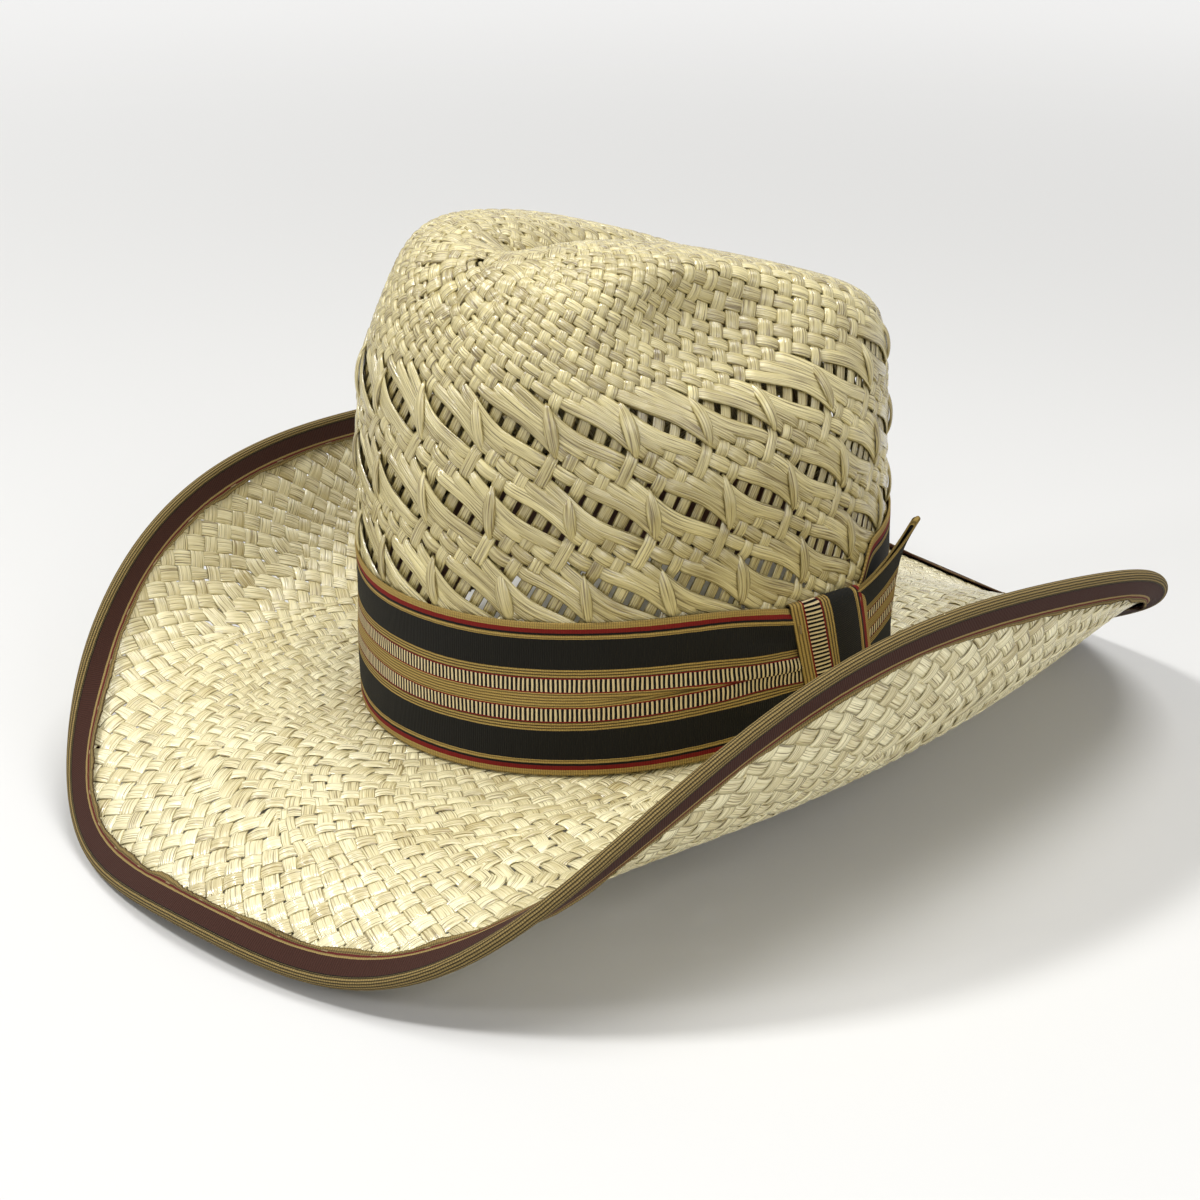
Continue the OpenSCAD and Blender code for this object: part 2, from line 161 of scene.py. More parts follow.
@dataclass(frozen=True)
class CrownForm:
    """The outside of the crown, as in the part's source. Lengths in millimetres."""

    side: float = 83.3
    front: float = 101.8
    back: float = 95.2
    height_front: float = 168.0
    height_back: float = 113.0
    arch: float = 11.5
    corner_front: float = 4.3
    corner_back: float = 16.5
    taper_front: float = 0.085
    taper_back: float = -0.02
    lean_forward: float = 4.6
    lean_left: float = 2.0
    taper_height: float = 140.0
    crease_depth: float = 21.5
    crease_width: float = 13.5
    crease_start: float = -47.3
    crease_end: float = 78.0
    crease_soft_front: float = 8.0
    crease_soft_back: float = 12.0
    crease_lift: float = 0.75
    dent_depth: float = 24.0
    dent_scale: float = 70.0
    dent_place: float = -28.0
    dent_height: float = 140.0
    dent_length: float = 44.0
    dent_reach: float = 22.0
    meet_front: float = 0.56
    meet_back: float = 0.62

    def corner(self, t: Array) -> Array:
        """Squareness of the crown's shoulder in the direction t."""
        return mixed(self.corner_back, self.corner_front, frontness(t))

    def crest(self, f: Array) -> Array:
        """Height of the top, uncreased, from 1 at the front to -1 at the back."""
        return self.height_front * (1 + f) / 2 + self.height_back * (1 - f) / 2 + self.arch * (1 - f * f)

    def reach(self, t: Array, q: Array) -> Array:
        """Length of the rounded box's ray at the angle q.

        Args:
            t: direction round the hat from the front, in radians.
            q: angle from 0 at the brim to a quarter turn at the top.

        Returns:
            Lengths as shares of the half size.
        """
        n = self.corner(t)
        cosine, sine = np.maximum(np.cos(q), TINY), np.maximum(np.sin(q), TINY)
        return np.exp(-np.logaddexp(n * np.log(cosine), n * np.log(sine)) / n)

    def length(self, t: Array) -> Array:
        """Half length of the head opening, front or back."""
        return np.where(np.cos(t) > 0, self.front, self.back)

    def point(self, t: Array, q: Array, off: Array | float) -> Array:
        """A point of the crown.

        Args:
            t: direction round the hat from the front, in radians.
            q: angle from 0 at the brim to a quarter turn at the top.
            off: distance out from the outer face of the straw.

        Returns:
            Positions in upright millimetres.
        """
        t, q, off = np.broadcast_arrays(t, q, off)
        ray = self.reach(t, q)
        out, lift = ray * np.cos(q), ray * np.sin(q)
        rise = (self.crest(np.cos(t) * out) + off) * lift
        h = rise / self.taper_height
        taper = mixed(self.taper_back, self.taper_front, frontness(t))
        y = -(self.length(t) + off) * np.cos(t) * out * (1 - taper * h) - self.lean_forward * h
        x = (self.side + off) * np.sin(t) * out + self.lean_left * h
        crease = self.crease_depth * np.exp(-((x / self.crease_width) ** 2))
        crease = crease / (1 + np.exp(-(y - self.crease_start) / self.crease_soft_front))
        crease = crease / (1 + np.exp((y - self.crease_end) / self.crease_soft_back))
        z = rise - crease * np.clip((lift - self.crease_lift) / (1 - self.crease_lift), 0, 1) ** 2
        near = (((y - self.dent_place) / self.dent_length) ** 2
                + ((z - self.dent_height) / self.dent_reach) ** 2)
        x = x * (1 - self.dent_depth / self.dent_scale * np.exp(-near))
        return np.stack([x, y, z], axis=-1)

    def wall(self, t: Array, z: Array, off: Array | float) -> Array:
        """Points of the crown's wall at given heights.

        Args:
            t: direction round the hat from the front, in radians.
            z: heights above the brim.
            off: distance out from the outer face of the straw.

        Returns:
            Positions in upright millimetres.
        """
        n = self.corner(t)
        lift = np.clip(z, 0, None) / self.crest(np.cos(t))
        made = self.point(t, np.arctan2(lift, (1 - lift**n) ** (1 / n)), off)
        made[..., 2] = z + 0 * made[..., 2]
        return made

    def foot(self, off: float) -> tuple[Array, Array]:
        """Directions round the crown in fine steps, and the length run along its foot at each."""
        t = np.linspace(0, TURN, FINE_COLUMNS)
        return t, run_of(self.point(t, FOOT + 0 * t, off))


@dataclass(frozen=True)
class BrimForm:
    """The upper face of the brim, as in the part's source. Lengths in millimetres."""

    crown: CrownForm = CrownForm()
    straw: float = 2.2
    side: float = 156.1
    side_shift: float = 0.1
    side_square: float = 4.6
    side_trim: float = -1.1
    shift: float = 4.3
    length: float = 206.5
    front_full: float = -9.0
    blunt: float = 10.4
    length_trim: float = 2.4
    rise: float = 10.5
    rise_front: float = 7.6
    rise_curl: float = 45.4
    rise_shift: float = -2.7
    rise_flat: float = 3.1
    rise_corner_shift: float = 3.5
    rise_corner: float = 4.3
    rise_left: float = 2.0
    rise_twist: float = 6.0
    rise_left_trim: float = -2.6
    rear_lift: float = 5.5
    rear_turn: float = math.radians(146.0)
    rear_spread: float = math.radians(14.0)
    power: float = 3.8
    power_front: float = 1.3
    power_side: float = 1.1
    nudge: float = 0.005
    turn_nudge: float = 0.004

    def edge(self, t: Array) -> Array:
        """The edge of the straw.

        Args:
            t: direction round the hat from the front, in radians.

        Returns:
            Positions in upright millimetres.
        """
        s, c = np.sin, np.cos
        x = self.side_shift + self.side * s(t) + self.side_square * s(3 * t) + self.side_trim * s(5 * t)
        y = self.shift - self.length * c(t) + self.front_full * c(2 * t) + self.blunt * c(3 * t)
        y = y + self.length_trim * c(4 * t)
        z = self.rise + self.rise_front * c(t) - self.rise_curl * c(2 * t) + self.rise_shift * c(3 * t)
        z = z + self.rise_flat * c(4 * t) + self.rise_corner_shift * c(5 * t) + self.rise_corner * c(6 * t)
        z = z + self.rise_left * s(t) + self.rise_twist * s(2 * t) + self.rise_left_trim * s(3 * t)
        near = np.exp(2 * (c(t - self.rear_turn) - 1) / self.rear_spread**2)
        return np.stack([x, y, z + self.rear_lift * near], axis=-1)

    def root(self, t: Array) -> Array:
        """The line where the brim meets the crown.

        Args:
            t: direction round the hat from the front, in radians.

        Returns:
            Positions in upright millimetres.
        """
        x = (self.crown.side - self.straw) * np.sin(t)
        y = -(self.crown.length(t) - self.straw) * np.cos(t)
        return np.stack([x, y, 0 * x], axis=-1)

    def top(self, t: Array, u: Array) -> Array:
        """Points of the brim's upper face.

        Args:
            t: direction round the hat from the front, in radians.
            u: share of the brim's width, 0 at the crown and 1 at the edge.

        Returns:
            Positions in upright millimetres.
        """
        t, u = np.broadcast_arrays(t, u)
        a, b = self.root(t), self.edge(t)
        power = self.power + self.power_front * np.cos(t) - self.power_side * np.cos(2 * t)
        made = mixed(a, b, u[..., None])
        made[..., 2] = b[..., 2] * np.power(np.maximum(u, 0), power)
        return made

    def axes(self, t: Array, u: Array) -> tuple[Array, Array, Array]:
        """The directions that a place on the brim has of its own.

        Args:
            t: direction round the hat from the front, in radians.
            u: share of the brim's width, 0 at the crown and 1 at the edge.

        Returns:
            Directions out along the brim, round it, and up from its face.
        """
        inner = u - self.nudge * (u > 2 * self.nudge)
        out = unit(self.top(t, u + self.nudge) - self.top(t, inner))
        turn = unit(self.top(t + self.turn_nudge, u) - self.top(t - self.turn_nudge, u))
        return out, turn, unit(np.cross(out, turn))


class Sheet:
    def __init__(self, places: Array, reach: Array, wrap: float, step: float = 1.0) -> None:
        """Keeps the table of places.

        Args:
            places: points at [round, across], the round axis evenly spaced and closed.
            reach: the largest across length in each column.
            wrap: the length once round.
            step: the spacing of the across axis.
        """
        self.places, self.reach, self.wrap, self.step = places, reach, wrap, step
        self.columns = places.shape[0] - 1
        self.cell = wrap / self.columns
        around = np.gradient(np.concatenate([places[-2:-1], places, places[1:2]]), self.cell, axis=0)[1:-1]
        self.normals = unit(np.cross(around, np.gradient(places, step, axis=1)))
        self.stretches = np.linalg.norm(around, axis=-1)

    def look(self, table: Array, a: Array, b: Array) -> Array:
        """Values of a table at the places a, b."""
        last = self.places.shape[1] - 1 - SHY
        return between(table, np.mod(a / self.cell, self.columns), np.clip(b / self.step, 0, last))

    def place(self, a: Array, b: Array) -> Array:
        """Points of the surface."""
        return self.look(self.places, a, b)

    def facing(self, a: Array, b: Array) -> Array:
        """Outward directions of the surface."""
        return unit(self.look(self.normals, a, b))

    def stretch(self, a: Array, b: Array) -> Array:
        """Length round the surface beside the length counted round it."""
        return self.look(self.stretches, a, b)

    def limit(self, a: Array) -> Array:
        """The largest across length at places round the surface.

        Args:
            a: places counted round the surface.

        Returns:
            The across lengths.
        """
        column = np.mod(a / self.cell, self.columns)
        i = column.astype(int)
        return mixed(self.reach[i], self.reach[i + 1], column - i)


def evenly(places: Array, step: float = 1.0) -> tuple[Array, Array]:
    """Spaces every column of a table evenly along its own length.

    Args:
        places: points at [column, row].
        step: spacing wanted, in millimetres.

    Returns:
        The table spaced evenly, held at its end past a column's reach, and each column's reach.
    """
    runs = np.linalg.norm(np.diff(places, axis=1), axis=-1)
    total = np.concatenate([np.zeros((len(places), 1)), np.cumsum(runs, axis=1)], axis=1)
    reach = total[:, -1]
    marks = np.arange(0, reach.max() + 2 * step, step)
    made = np.empty((len(places), len(marks), 3))
    for k, column in enumerate(places):
        for axis in range(3):
            made[k, :, axis] = np.interp(marks, total[k], column[:, axis])
        past = marks > reach[k]
        ahead = unit(column[-1] - column[-4])
        made[k, past] = column[-1] + ahead * (marks[past] - reach[k])[:, None]
    return made, reach


def crown_sheet(form: CrownForm, off: float, rows: int = 260, rounds: int = 6) -> Sheet:
    """Unrolls the crown up its wall and over its top to the crease.

    Columns run up the wall and then straight in to the crease line, drawing together only at its
    front and back ends.

    Args:
        form: the crown's shape.
        off: distance out from the outer face of the straw.
        rows: how many points each column is worked out at.
        rounds: how often a column's turn is bettered.

    Returns:
        The crown's sheet, with heights up the wall as its across length.
    """
    fine, run = form.foot(off)
    t = np.interp(np.linspace(0, run[-1], COLUMNS), run, fine)
    v = -np.cos(t)
    meet = np.where(v < 0, form.meet_front, form.meet_back)
    target = np.sign(v) * meet * (1 - (1 - np.abs(v)) ** (1 / meet))
    end = np.stack([0 * v, target], axis=-1)[:, None, :]
    start = np.stack([np.sin(t), v], axis=-1)[:, None, :]
    n_end = form.corner(np.where(v < 0, 0.0, math.pi))
    q_end = np.arctan2((1 - np.abs(target) ** n_end) ** (1 / n_end), np.abs(target))
    q = q_end[:, None] * np.linspace(FOOT, 1, rows)[None, :]
    way = start - end
    size, along = (way**2).sum(-1), (end * way).sum(-1)
    turn = np.repeat(t[:, None], q.shape[1], axis=1)
    for _ in range(rounds):
        out = form.reach(turn, q) * np.cos(q)
        inside = np.maximum(along**2 - size * (target[:, None] ** 2 - out**2), 0)
        share = np.clip((-along + np.sqrt(inside)) / size, 0, 1)
        plan = end + way * share[..., None]
        turn = np.arctan2(plan[..., 0], -plan[..., 1])
    places, reach = evenly(form.point(turn, q, off))
    places[-1], reach[-1] = places[0], reach[0]
    return Sheet(places, reach, float(run[-1]))


def brim_sheet(form: BrimForm, off: float, rows: int = 160, crowding: float = 0.8) -> Sheet:
    """Unrolls the brim: its angle round, and its length out from the crown.

    Args:
        form: the brim's shape.
        off: distance up from the upper face of the straw.
        rows: how many points each column is worked out at.
        crowding: less than 1 to crowd them towards the edge.

    Returns:
        The brim's sheet, in even steps of the angle t.
    """
    t = np.linspace(0, TURN, COLUMNS)[:, None]
    u = np.linspace(0, 1, rows)[None, :] ** crowding
    places, reach = evenly(form.top(t, u) + form.axes(t, u)[2] * off)
    return Sheet(places, reach, TURN)


# ---------------------------------------------------------------- meshes


def there_and_back(values: Array) -> Array:
    """Values across a cloth's upper face and back across its lower one."""
    return np.concatenate([values, values[:, ::-1]], axis=1)


@dataclass
class Run:
    """One strand's course: its middle, outward direction, sizes, length run and tone at every point."""

    path: Array
    normal: Array
    half: Array
    thick: Array
    along: Array
    tone: Array

    def cut(self, keep: Array, least: int = 4) -> list["Run"]:
        """Cuts the course into unbroken stretches.

        Args:
            keep: which points stay.
            least: a stretch of this many points or fewer is dropped.

        Returns:
            The stretches.
        """
        ends = np.flatnonzero(np.diff(np.concatenate([[0], keep.astype(int), [0]])))
        spans = [slice(a, b) for a, b in zip(ends[::2], ends[1::2]) if b - a > least]
        return [Run(*(values[span] for values in vars(self).values())) for span in spans]


@dataclass
class Strips:
    """Gathers many flat strips of straw or ribbon into one mesh."""

    name: str
    points: list[Array] = field(default_factory=list)
    faces: list[Array] = field(default_factory=list)
    fibres: list[Array] = field(default_factory=list)
    tones: list[Array] = field(default_factory=list)
    count: int = 0
    size: tuple[float, float] = (0.0, 0.0)

    def add(self, grid: Array, fibre: Array, tone: Array, closed: bool = False) -> None:
        """Adds a grid of points as a tube whose sections are the grid's rows, with an even number of sides.

        Args:
            grid: points at [along, round], in upright millimetres.
            fibre: lengths along and across, and a number for the strand, at every point.
            tone: a value from 0 to 1 at every point.
            closed: whether the tube's ends also meet.
        """
        rows, sides = grid.shape[:2]
        index = np.arange(rows * sides).reshape(rows, sides) + self.count
        if closed:
            index = np.concatenate([index, index[:1]])
        ahead = np.roll(index, -1, axis=1)
        quads = np.stack([index[:-1], ahead[:-1], ahead[1:], index[1:]], axis=-1)
        self.points.append(grid.reshape(-1, 3))
        self.faces.append(quads.reshape(-1, 4))
        if not closed:
            k = np.arange(sides // 2 - 1)
            far, near = sides - 1 - k, sides - 2 - k
            self.faces.append(np.stack([index[0, v] for v in (k + 1, k, far, near)], axis=-1))
            self.faces.append(np.stack([index[-1, v] for v in (k, k + 1, near, far)], axis=-1))
        self.fibres.append(fibre.reshape(-1, 3))
        self.tones.append(tone.reshape(-1))
        self.count += rows * sides

    def add_strand(self, run: Run, number: float, profile: Array) -> None:
        """Adds one strand.

        Args:
            run: its course.
            number: a number of its own.
            profile: closed outline, x from -1 to 1 and height from about 0 to 1.
        """
        ahead = unit(np.gradient(run.path, axis=0))
        side = unit(np.cross(ahead, run.normal))
        up = np.cross(side, ahead)
        x, z = profile[:, 0], profile[:, 1]
        across = run.half[:, None] * x
        grid = run.path[:, None] + side[:, None] * across[..., None]
        grid = grid + up[:, None] * (run.thick[:, None] * z)[..., None]
        along = np.repeat(run.along[:, None], len(x), 1)
        fibre = np.stack([along, across, np.full(across.shape, number)], axis=-1)
        self.add(grid, fibre, np.repeat(run.tone[:, None], len(x), 1))

    def add_tube(self, path: Array, radius: float, sides: int = 8) -> None:
        """Adds a round thread or wire along a path, drawn in at its ends.

        Args:
            path: its middle.
            radius: its radius.
            sides: how many sides it has.
        """
        ring = np.linspace(0, TURN, sides + 1)[:-1]
        ahead = unit(np.gradient(path, axis=0))
        side = unit(np.cross(ahead, np.array([0.0, 0.0, 1.0])))
        up = np.cross(side, ahead)
        size = np.full(len(path), radius)
        size[[0, -1]] = 0.02
        way = side[:, None] * np.cos(ring)[:, None] + up[:, None] * np.sin(ring)[:, None]
        run = np.repeat(np.arange(len(path), dtype=float)[:, None], sides, 1)
        fibre = np.stack([run, 0 * run, 0 * run], axis=-1)
        self.add(path[:, None] + way * size[:, None, None], fibre, 0 * run + 0.5)

    def add_cloth(self, middle: Array, along: Array, across: Array, thick: float,
                  tone: float = 0.5, closed: bool = False, flip: bool = False) -> None:
        """Adds a ribbon of cloth with two faces and closed edges.

        Args:
            middle: points of its middle layer, at [along, across].
            along: length along the ribbon, at the same places.
            across: place across the ribbon's pattern, at the same places.
            thick: its thickness.
            tone: a value from 0 to 1.
            closed: whether its ends meet.
            flip: whether the face that shows is on the other side.
        """
        rows = np.concatenate([middle, middle[:1]]) if closed else middle
        run = np.gradient(np.concatenate([middle[-1:], rows]) if closed else middle, axis=0)
        run = run[1:-1] if closed else run
        normal = unit(np.cross(run, np.gradient(middle, axis=1))) * (-1 if flip else 1) * thick / 2
        wide = np.linalg.norm(np.diff(middle, axis=1), axis=-1).sum(axis=1).mean()
        long = np.linalg.norm(np.diff(rows, axis=0), axis=-1).sum(axis=0).mean()
        self.size = (float(wide), float(long))
        grid = np.concatenate([middle + normal, (middle - normal)[:, ::-1]], axis=1)
        face = np.concatenate([np.zeros(along.shape), np.ones(along.shape)], axis=1)
        fibre = np.stack([there_and_back(along), there_and_back(across), face], axis=-1)
        order = slice(None, None, -1 if flip else 1)
        self.add(grid[:, order], fibre[:, order], np.full(face.shape, tone), closed)

    def build(self) -> Piece:
        """Makes the Blender object, in the row's frame, smooth, with its attributes."""
        points = placed(np.concatenate(self.points)).astype(np.float32)
        quads = np.concatenate(self.faces).astype(np.int32)
        mesh = bpy.data.meshes.new(self.name)
        mesh.vertices.add(len(points))
        mesh.vertices.foreach_set("co", points.ravel())
        mesh.loops.add(quads.size)
        mesh.loops.foreach_set("vertex_index", quads.ravel())
        mesh.polygons.add(len(quads))
        mesh.polygons.foreach_set("loop_start", np.arange(0, quads.size, 4, dtype=np.int32))
        fibre = mesh.attributes.new("fibre", "FLOAT_VECTOR", "POINT")
        fibre.data.foreach_set("vector", np.concatenate(self.fibres).astype(np.float32).ravel())
        tone = mesh.attributes.new("tone", "FLOAT", "POINT")
        tone.data.foreach_set("value", np.concatenate(self.tones).astype(np.float32))
        mesh.update(calc_edges=True)
        mesh.validate()
        mesh.shade_smooth()
        made = bpy.data.objects.new(self.name, mesh)
        bpy.context.scene.collection.objects.link(made)
        return made


class Hold(Enum):
    """How a ribbon lies on what carries it."""

    STRETCHED = "stretched"
    FOLDED = "folded"


@dataclass(frozen=True)
class Ribbon:
    """A piece of ribbon, the size it was cut to in millimetres, and how it lies."""

    piece: Piece
    size: tuple[float, float]
    held: Hold
    rests_on: str

    def declare(self) -> None:
        """Logs the size that the piece was cut to."""
        log.info("%s was cut to %.1f by %.0f mm", self.piece.name, *self.size)


# ---------------------------------------------------------------- the weave


STRAW_PROFILE = np.array(
    [(-1.0, -0.04), (-0.76, 0.6), (-0.3, 0.96), (0.27, 0.94),
     (0.78, 0.58), (1.0, -0.04), (0.4, -0.26), (-0.4, -0.27)]
)
FLAT_PROFILE = np.array(
    [(-1.0, 0.0), (-0.84, 0.43), (-0.3, 0.52), (0.3, 0.5),
     (0.86, 0.41), (1.0, 0.0), (0.5, -0.46), (-0.55, -0.47)]
)
SHARES = 2  # pieces that one family of strands is made in


class Family(Enum):
    """The two ways that straw runs in a weave."""

    FALLING = "falling"
    RISING = "rising"

    @property
    def other(self) -> "Family":
        """The family that this one crosses."""
        return Family.RISING if self is Family.FALLING else Family.FALLING


@dataclass(frozen=True)
class Straw:
    """Sizes of the straw in millimetres, and the spread of its small irregularities."""

    wave: float = 0.5
    thick: float = 0.78
    steps: int = 5
    steepness: float = 1.35
    wander: float = 0.035
    jitter: float = 0.045
    shade: float = 0.17
    shade_drift: float = 0.12
    seed: int = 7

    def heights(self, marks: Array, over: Array) -> Array:
        """Height of a strand between its crossings.

        Args:
            marks: places along the strand, whole numbers at crossings, counted from the first.
            over: +1 or -1 at each crossing.

        Returns:
            Height as a share of the wave, from -1 to 1.
        """
        cell = np.clip(np.floor(marks).astype(int), 0, len(over) - 2)
        share = np.clip((marks - cell - 0.5) * self.steepness + 0.5, 0, 1)
        return mixed(over[cell], over[cell + 1], (1 - np.cos(math.pi * share)) / 2)


@dataclass
class CrownWeave:
    """The crown: plain weave with three rows of gathered floats that leave vents. Lengths in millimetres.

    The weave has its own coordinates: u counts the rising strands along a falling one, and v the
    falling strands along a rising one. Both slant, so that a 3-4-5 triangle closes the pattern.
    """

    form: CrownForm = CrownForm()
    straw: Straw = Straw()
    repeats: int = 22
    sink: float = 0.35
    row_height: float = 88.0
    row_turn: float = math.radians(35.0)
    row_gap: float = 27.0
    long: float = 0.8
    short: float = 0.6
    lean: float = 0.17
    gather: float = 0.52
    spread: float = 0.05
    vent_rows: tuple[int, ...] = (-1, 0, 1)
    vent_reach: float = 1.5
    vent_fade: float = 4.0
    float_from: tuple[int, ...] = (-3, -2, -1)
    float_to: tuple[int, ...] = (1, 2, 4)
    float_reach: float = 2.3
    float_lift: float = 0.3
    float_stagger: float = 0.26
    float_full: float = 0.4
    float_flat: float = 0.3
    riser_pinch: float = 0.15
    riser_sink: float = 0.12
    riser_flat: float = 0.35
    least_stretch: float = 0.16
    blend: float = 12.0
    thin_at: tuple[tuple[float, float], ...] = ((0.74, 0.2), (0.38, 0.12))
    thin_from: float = 1.35
    thin_blend: float = 6.0
    gone: float = 0.95
    squeeze: float = 0.7
    fill: float = 0.97
    least_size: float = 0.25
    least_room: float = 0.4
    most_room: float = 3.0
    least_thick: float = 0.35
    least_lift: float = 0.4
    narrowest: float = 0.8
    widest: float = 3.4
    swell: float = 0.045
    # Painted shade: below the level dip, a strand's tone is darkened where it dives under its neighbours.
    dip: float = 0.15
    dip_painted_shade: float = 0.34
    end: float = 0.4
    overlap: float = 3.2
    inward_step: float = 1.5
    lowest: float = -1.0
    counts_above: float = 40.0
    counts_below: float = 18.0
    margin: int = 12
    tie_height: float = 17.0
    tie_width: float = 4.4
    tie_thick: float = 0.85
    tie_points: int = 17
    tie_shift: float = 0.4
    tie_slope: float = -0.09
    tie_slope_spread: float = 0.08
    tie_length_spread: float = 0.06
    tie_bow: float = 0.25
    tie_sink: float = -0.7
    tie_arch: float = 2.55
    tie_waist: float = 0.22
    tie_tone: float = 0.3
    tie_tone_spread: float = 0.14

    def __post_init__(self) -> None:
        """Unrolls the crown and sizes the weave to go round it a whole number of times."""
        self.sheet = crown_sheet(self.form, -self.straw.thick - self.sink)
        self.pitch = self.sheet.wrap / (5 * self.repeats)
        self.rise = self.row_gap / (5 * self.pitch)
        step, tallest = 0.5, 420
        ring = np.linspace(0, self.sheet.wrap, COLUMNS)[:, None]
        climb = np.arange(0, self.sheet.reach.max() + 20, step)
        slow = self.slowed(self.sheet.stretch(ring, climb[None, :]), climb)
        grown = np.concatenate([0 * ring, np.cumsum(step / slow, axis=1)[:, :-1]], axis=1)
        self.tall = np.arange(0, tallest, 1.0)
        self.climbs = np.stack([np.interp(self.tall, row, climb) for row in grown])
        t, run = self.form.foot(0.0)
        self.start = float(np.interp(self.row_turn, t, run) * self.sheet.wrap / run[-1])
        self.counts = {Family.FALLING: 3 * self.repeats, Family.RISING: 4 * self.repeats}

    def slowed(self, stretch: Array, b: Array) -> Array:
        """How much the weave's height shrinks where the top draws in."""
        above = (b - self.row_height - self.row_gap) / self.blend
        return mixed(1, np.clip(stretch, self.least_stretch, 1), eased(above))

    def spot(self, u: Array, v: Array) -> tuple[Array, Array]:
        """Where a place in the weave's own coordinates lies.

        Args:
            u: place along the falling strands.
            v: place along the rising strands.

        Returns:
            Length round the crown and length up it.
        """
        up = self.pitch * self.rise * (self.long * v - self.short * u)
        a = self.start + self.pitch * (self.long * u + self.short * v) - self.lean * up
        y = self.row_height + up
        x = np.mod(a / self.sheet.wrap, 1) * (len(self.climbs) - 1 - SHY)
        return a, np.where(y < 0, y, between(self.climbs, x, np.clip(y, 0, self.tall[-1] - 0.1)))

    def along(self, family: Family, way: Array, label: Array | int) -> tuple[Array, Array]:
        """Length round the crown, and up it, at places along a family's strand."""
        label = label + 0 * way
        return self.spot(way, label) if family is Family.FALLING else self.spot(label, way)

    def cluster(self, i: int, row: int) -> tuple[int, int]:
        """The middle of the cluster that falling strand i joins in a row, and its place in it."""
        m = round((i + 4 * row) / 3)
        return 4 * m + 3 * row, i + 4 * row - 3 * m

    def falls_over(self, i: int, j: Array) -> Array:
        """How a falling strand passes the rising ones.

        Args:
            i: the falling strand's number.
            j: the rising strands' numbers.

        Returns:
            +1 where it passes over and -1 where it passes under.
        """
        over = np.where((i + j) % 2 == 0, 1.0, -1.0)
        ends = []
        for row in self.vent_rows:
            middle, place = self.cluster(i, row)
            first, last = middle + self.float_from[place + 1], middle + self.float_to[place + 1]
            over[(j >= first) & (j <= last)] = 1.0
            ends.append((first, last))
        for (_, last), (first, _) in zip(ends, ends[1:]):
            gap = (j > last) & (j < first)
            over[gap] = np.where((j[gap] - last) % 2 == 1, -1.0, 1.0)
        return over

    def floats(self, index: int, way: Array) -> tuple[Array, Array]:
        """What happens to a falling strand where it floats.

        Args:
            index: its number.
            way: places along it.

        Returns:
            How far it is gathered sideways, and how far it is raised.
        """
        gather, raised = 0 * way, 0 * way
        for row in self.vent_rows:
            middle, place = self.cluster(index, row)
            centre = middle + (self.float_from[place + 1] + self.float_to[place + 1]) / 2
            pull = np.exp(-(((way - centre) / self.float_reach) ** 2))
            gather = gather - place * self.gather * pull
            raised = raised + (self.float_lift + self.float_stagger * place) * pull
        return gather, raised

    def vented(self, b: Array) -> Array:
        """How far a height lies inside the vented rows, from 0 to 1."""
        inside = self.row_gap * self.vent_reach + self.vent_fade - np.abs(b - self.row_height)
        return eased(inside / (2 * self.vent_fade))

    def drawn(self, a: Array, b: Array) -> list[Array]:
        """How far the top draws in.

        Args:
            a: length round the crown.
            b: length up it.

        Returns:
            For the first and the second thinning, a share from 0 to 1.
        """
        stretch = self.sheet.stretch(a, b)
        above = eased((b - self.row_height - self.row_gap * self.thin_from) / self.thin_blend)
        return [above * eased((start - stretch) / span) for start, span in self.thin_at]

    def thinned(self, family: Family, label: Array, a: Array, b: Array) -> tuple[Array, Array, Array]:
        """Where strands lie once others have ended.

        Args:
            family: which way they run.
            label: their whole numbers.
            a: length round the crown.
            b: length up it.

        Returns:
            Their place in counts, whether they are still there, and their room beside one count.
        """
        whole = self.counts[family]
        turns, rank = np.divmod(np.broadcast_to(label, a.shape), whole)
        now, there, room = rank.astype(float), np.ones(a.shape, bool), np.ones(a.shape)
        count = whole
        for parts, share in zip((4, 8), self.drawn(a, b)):
            kept = whole // parts * 2
            stay = np.arange(kept) + 2 * np.floor(np.arange(kept) * (count - kept) / 2 / kept).astype(int)
            rank_of = np.full(count, -1)
            rank_of[stay] = np.arange(kept)
            rank = np.where(rank >= 0, rank_of[np.maximum(rank, 0)], -1)
            here = rank >= 0
            now = np.where(here, mixed(now, rank * whole / kept, share), now)
            there = there & (here | (share < self.gone))
            room = room * np.where(here, mixed(1, count / kept, share), 1 - self.squeeze * share)
            count = kept
        return now + turns * whole, there, room

    def apart(self, family: Family, b: Array, stretch: Array) -> Array:
        """Distance between neighbours of a family, square to them, where none has ended.

        Args:
            family: which way they run.
            b: length up the crown.
            stretch: how far the top has drawn in there.

        Returns:
            Distances in millimetres.
        """
        across, up = (self.long, -self.short) if family is Family.FALLING else (self.short, self.long)
        slow = self.slowed(stretch, b)
        run_a = across * self.pitch - self.lean * up * self.pitch * self.rise
        run_b = up * self.pitch * self.rise
        return self.pitch**2 * self.rise * slow * stretch / np.hypot(run_a * stretch, run_b * slow)

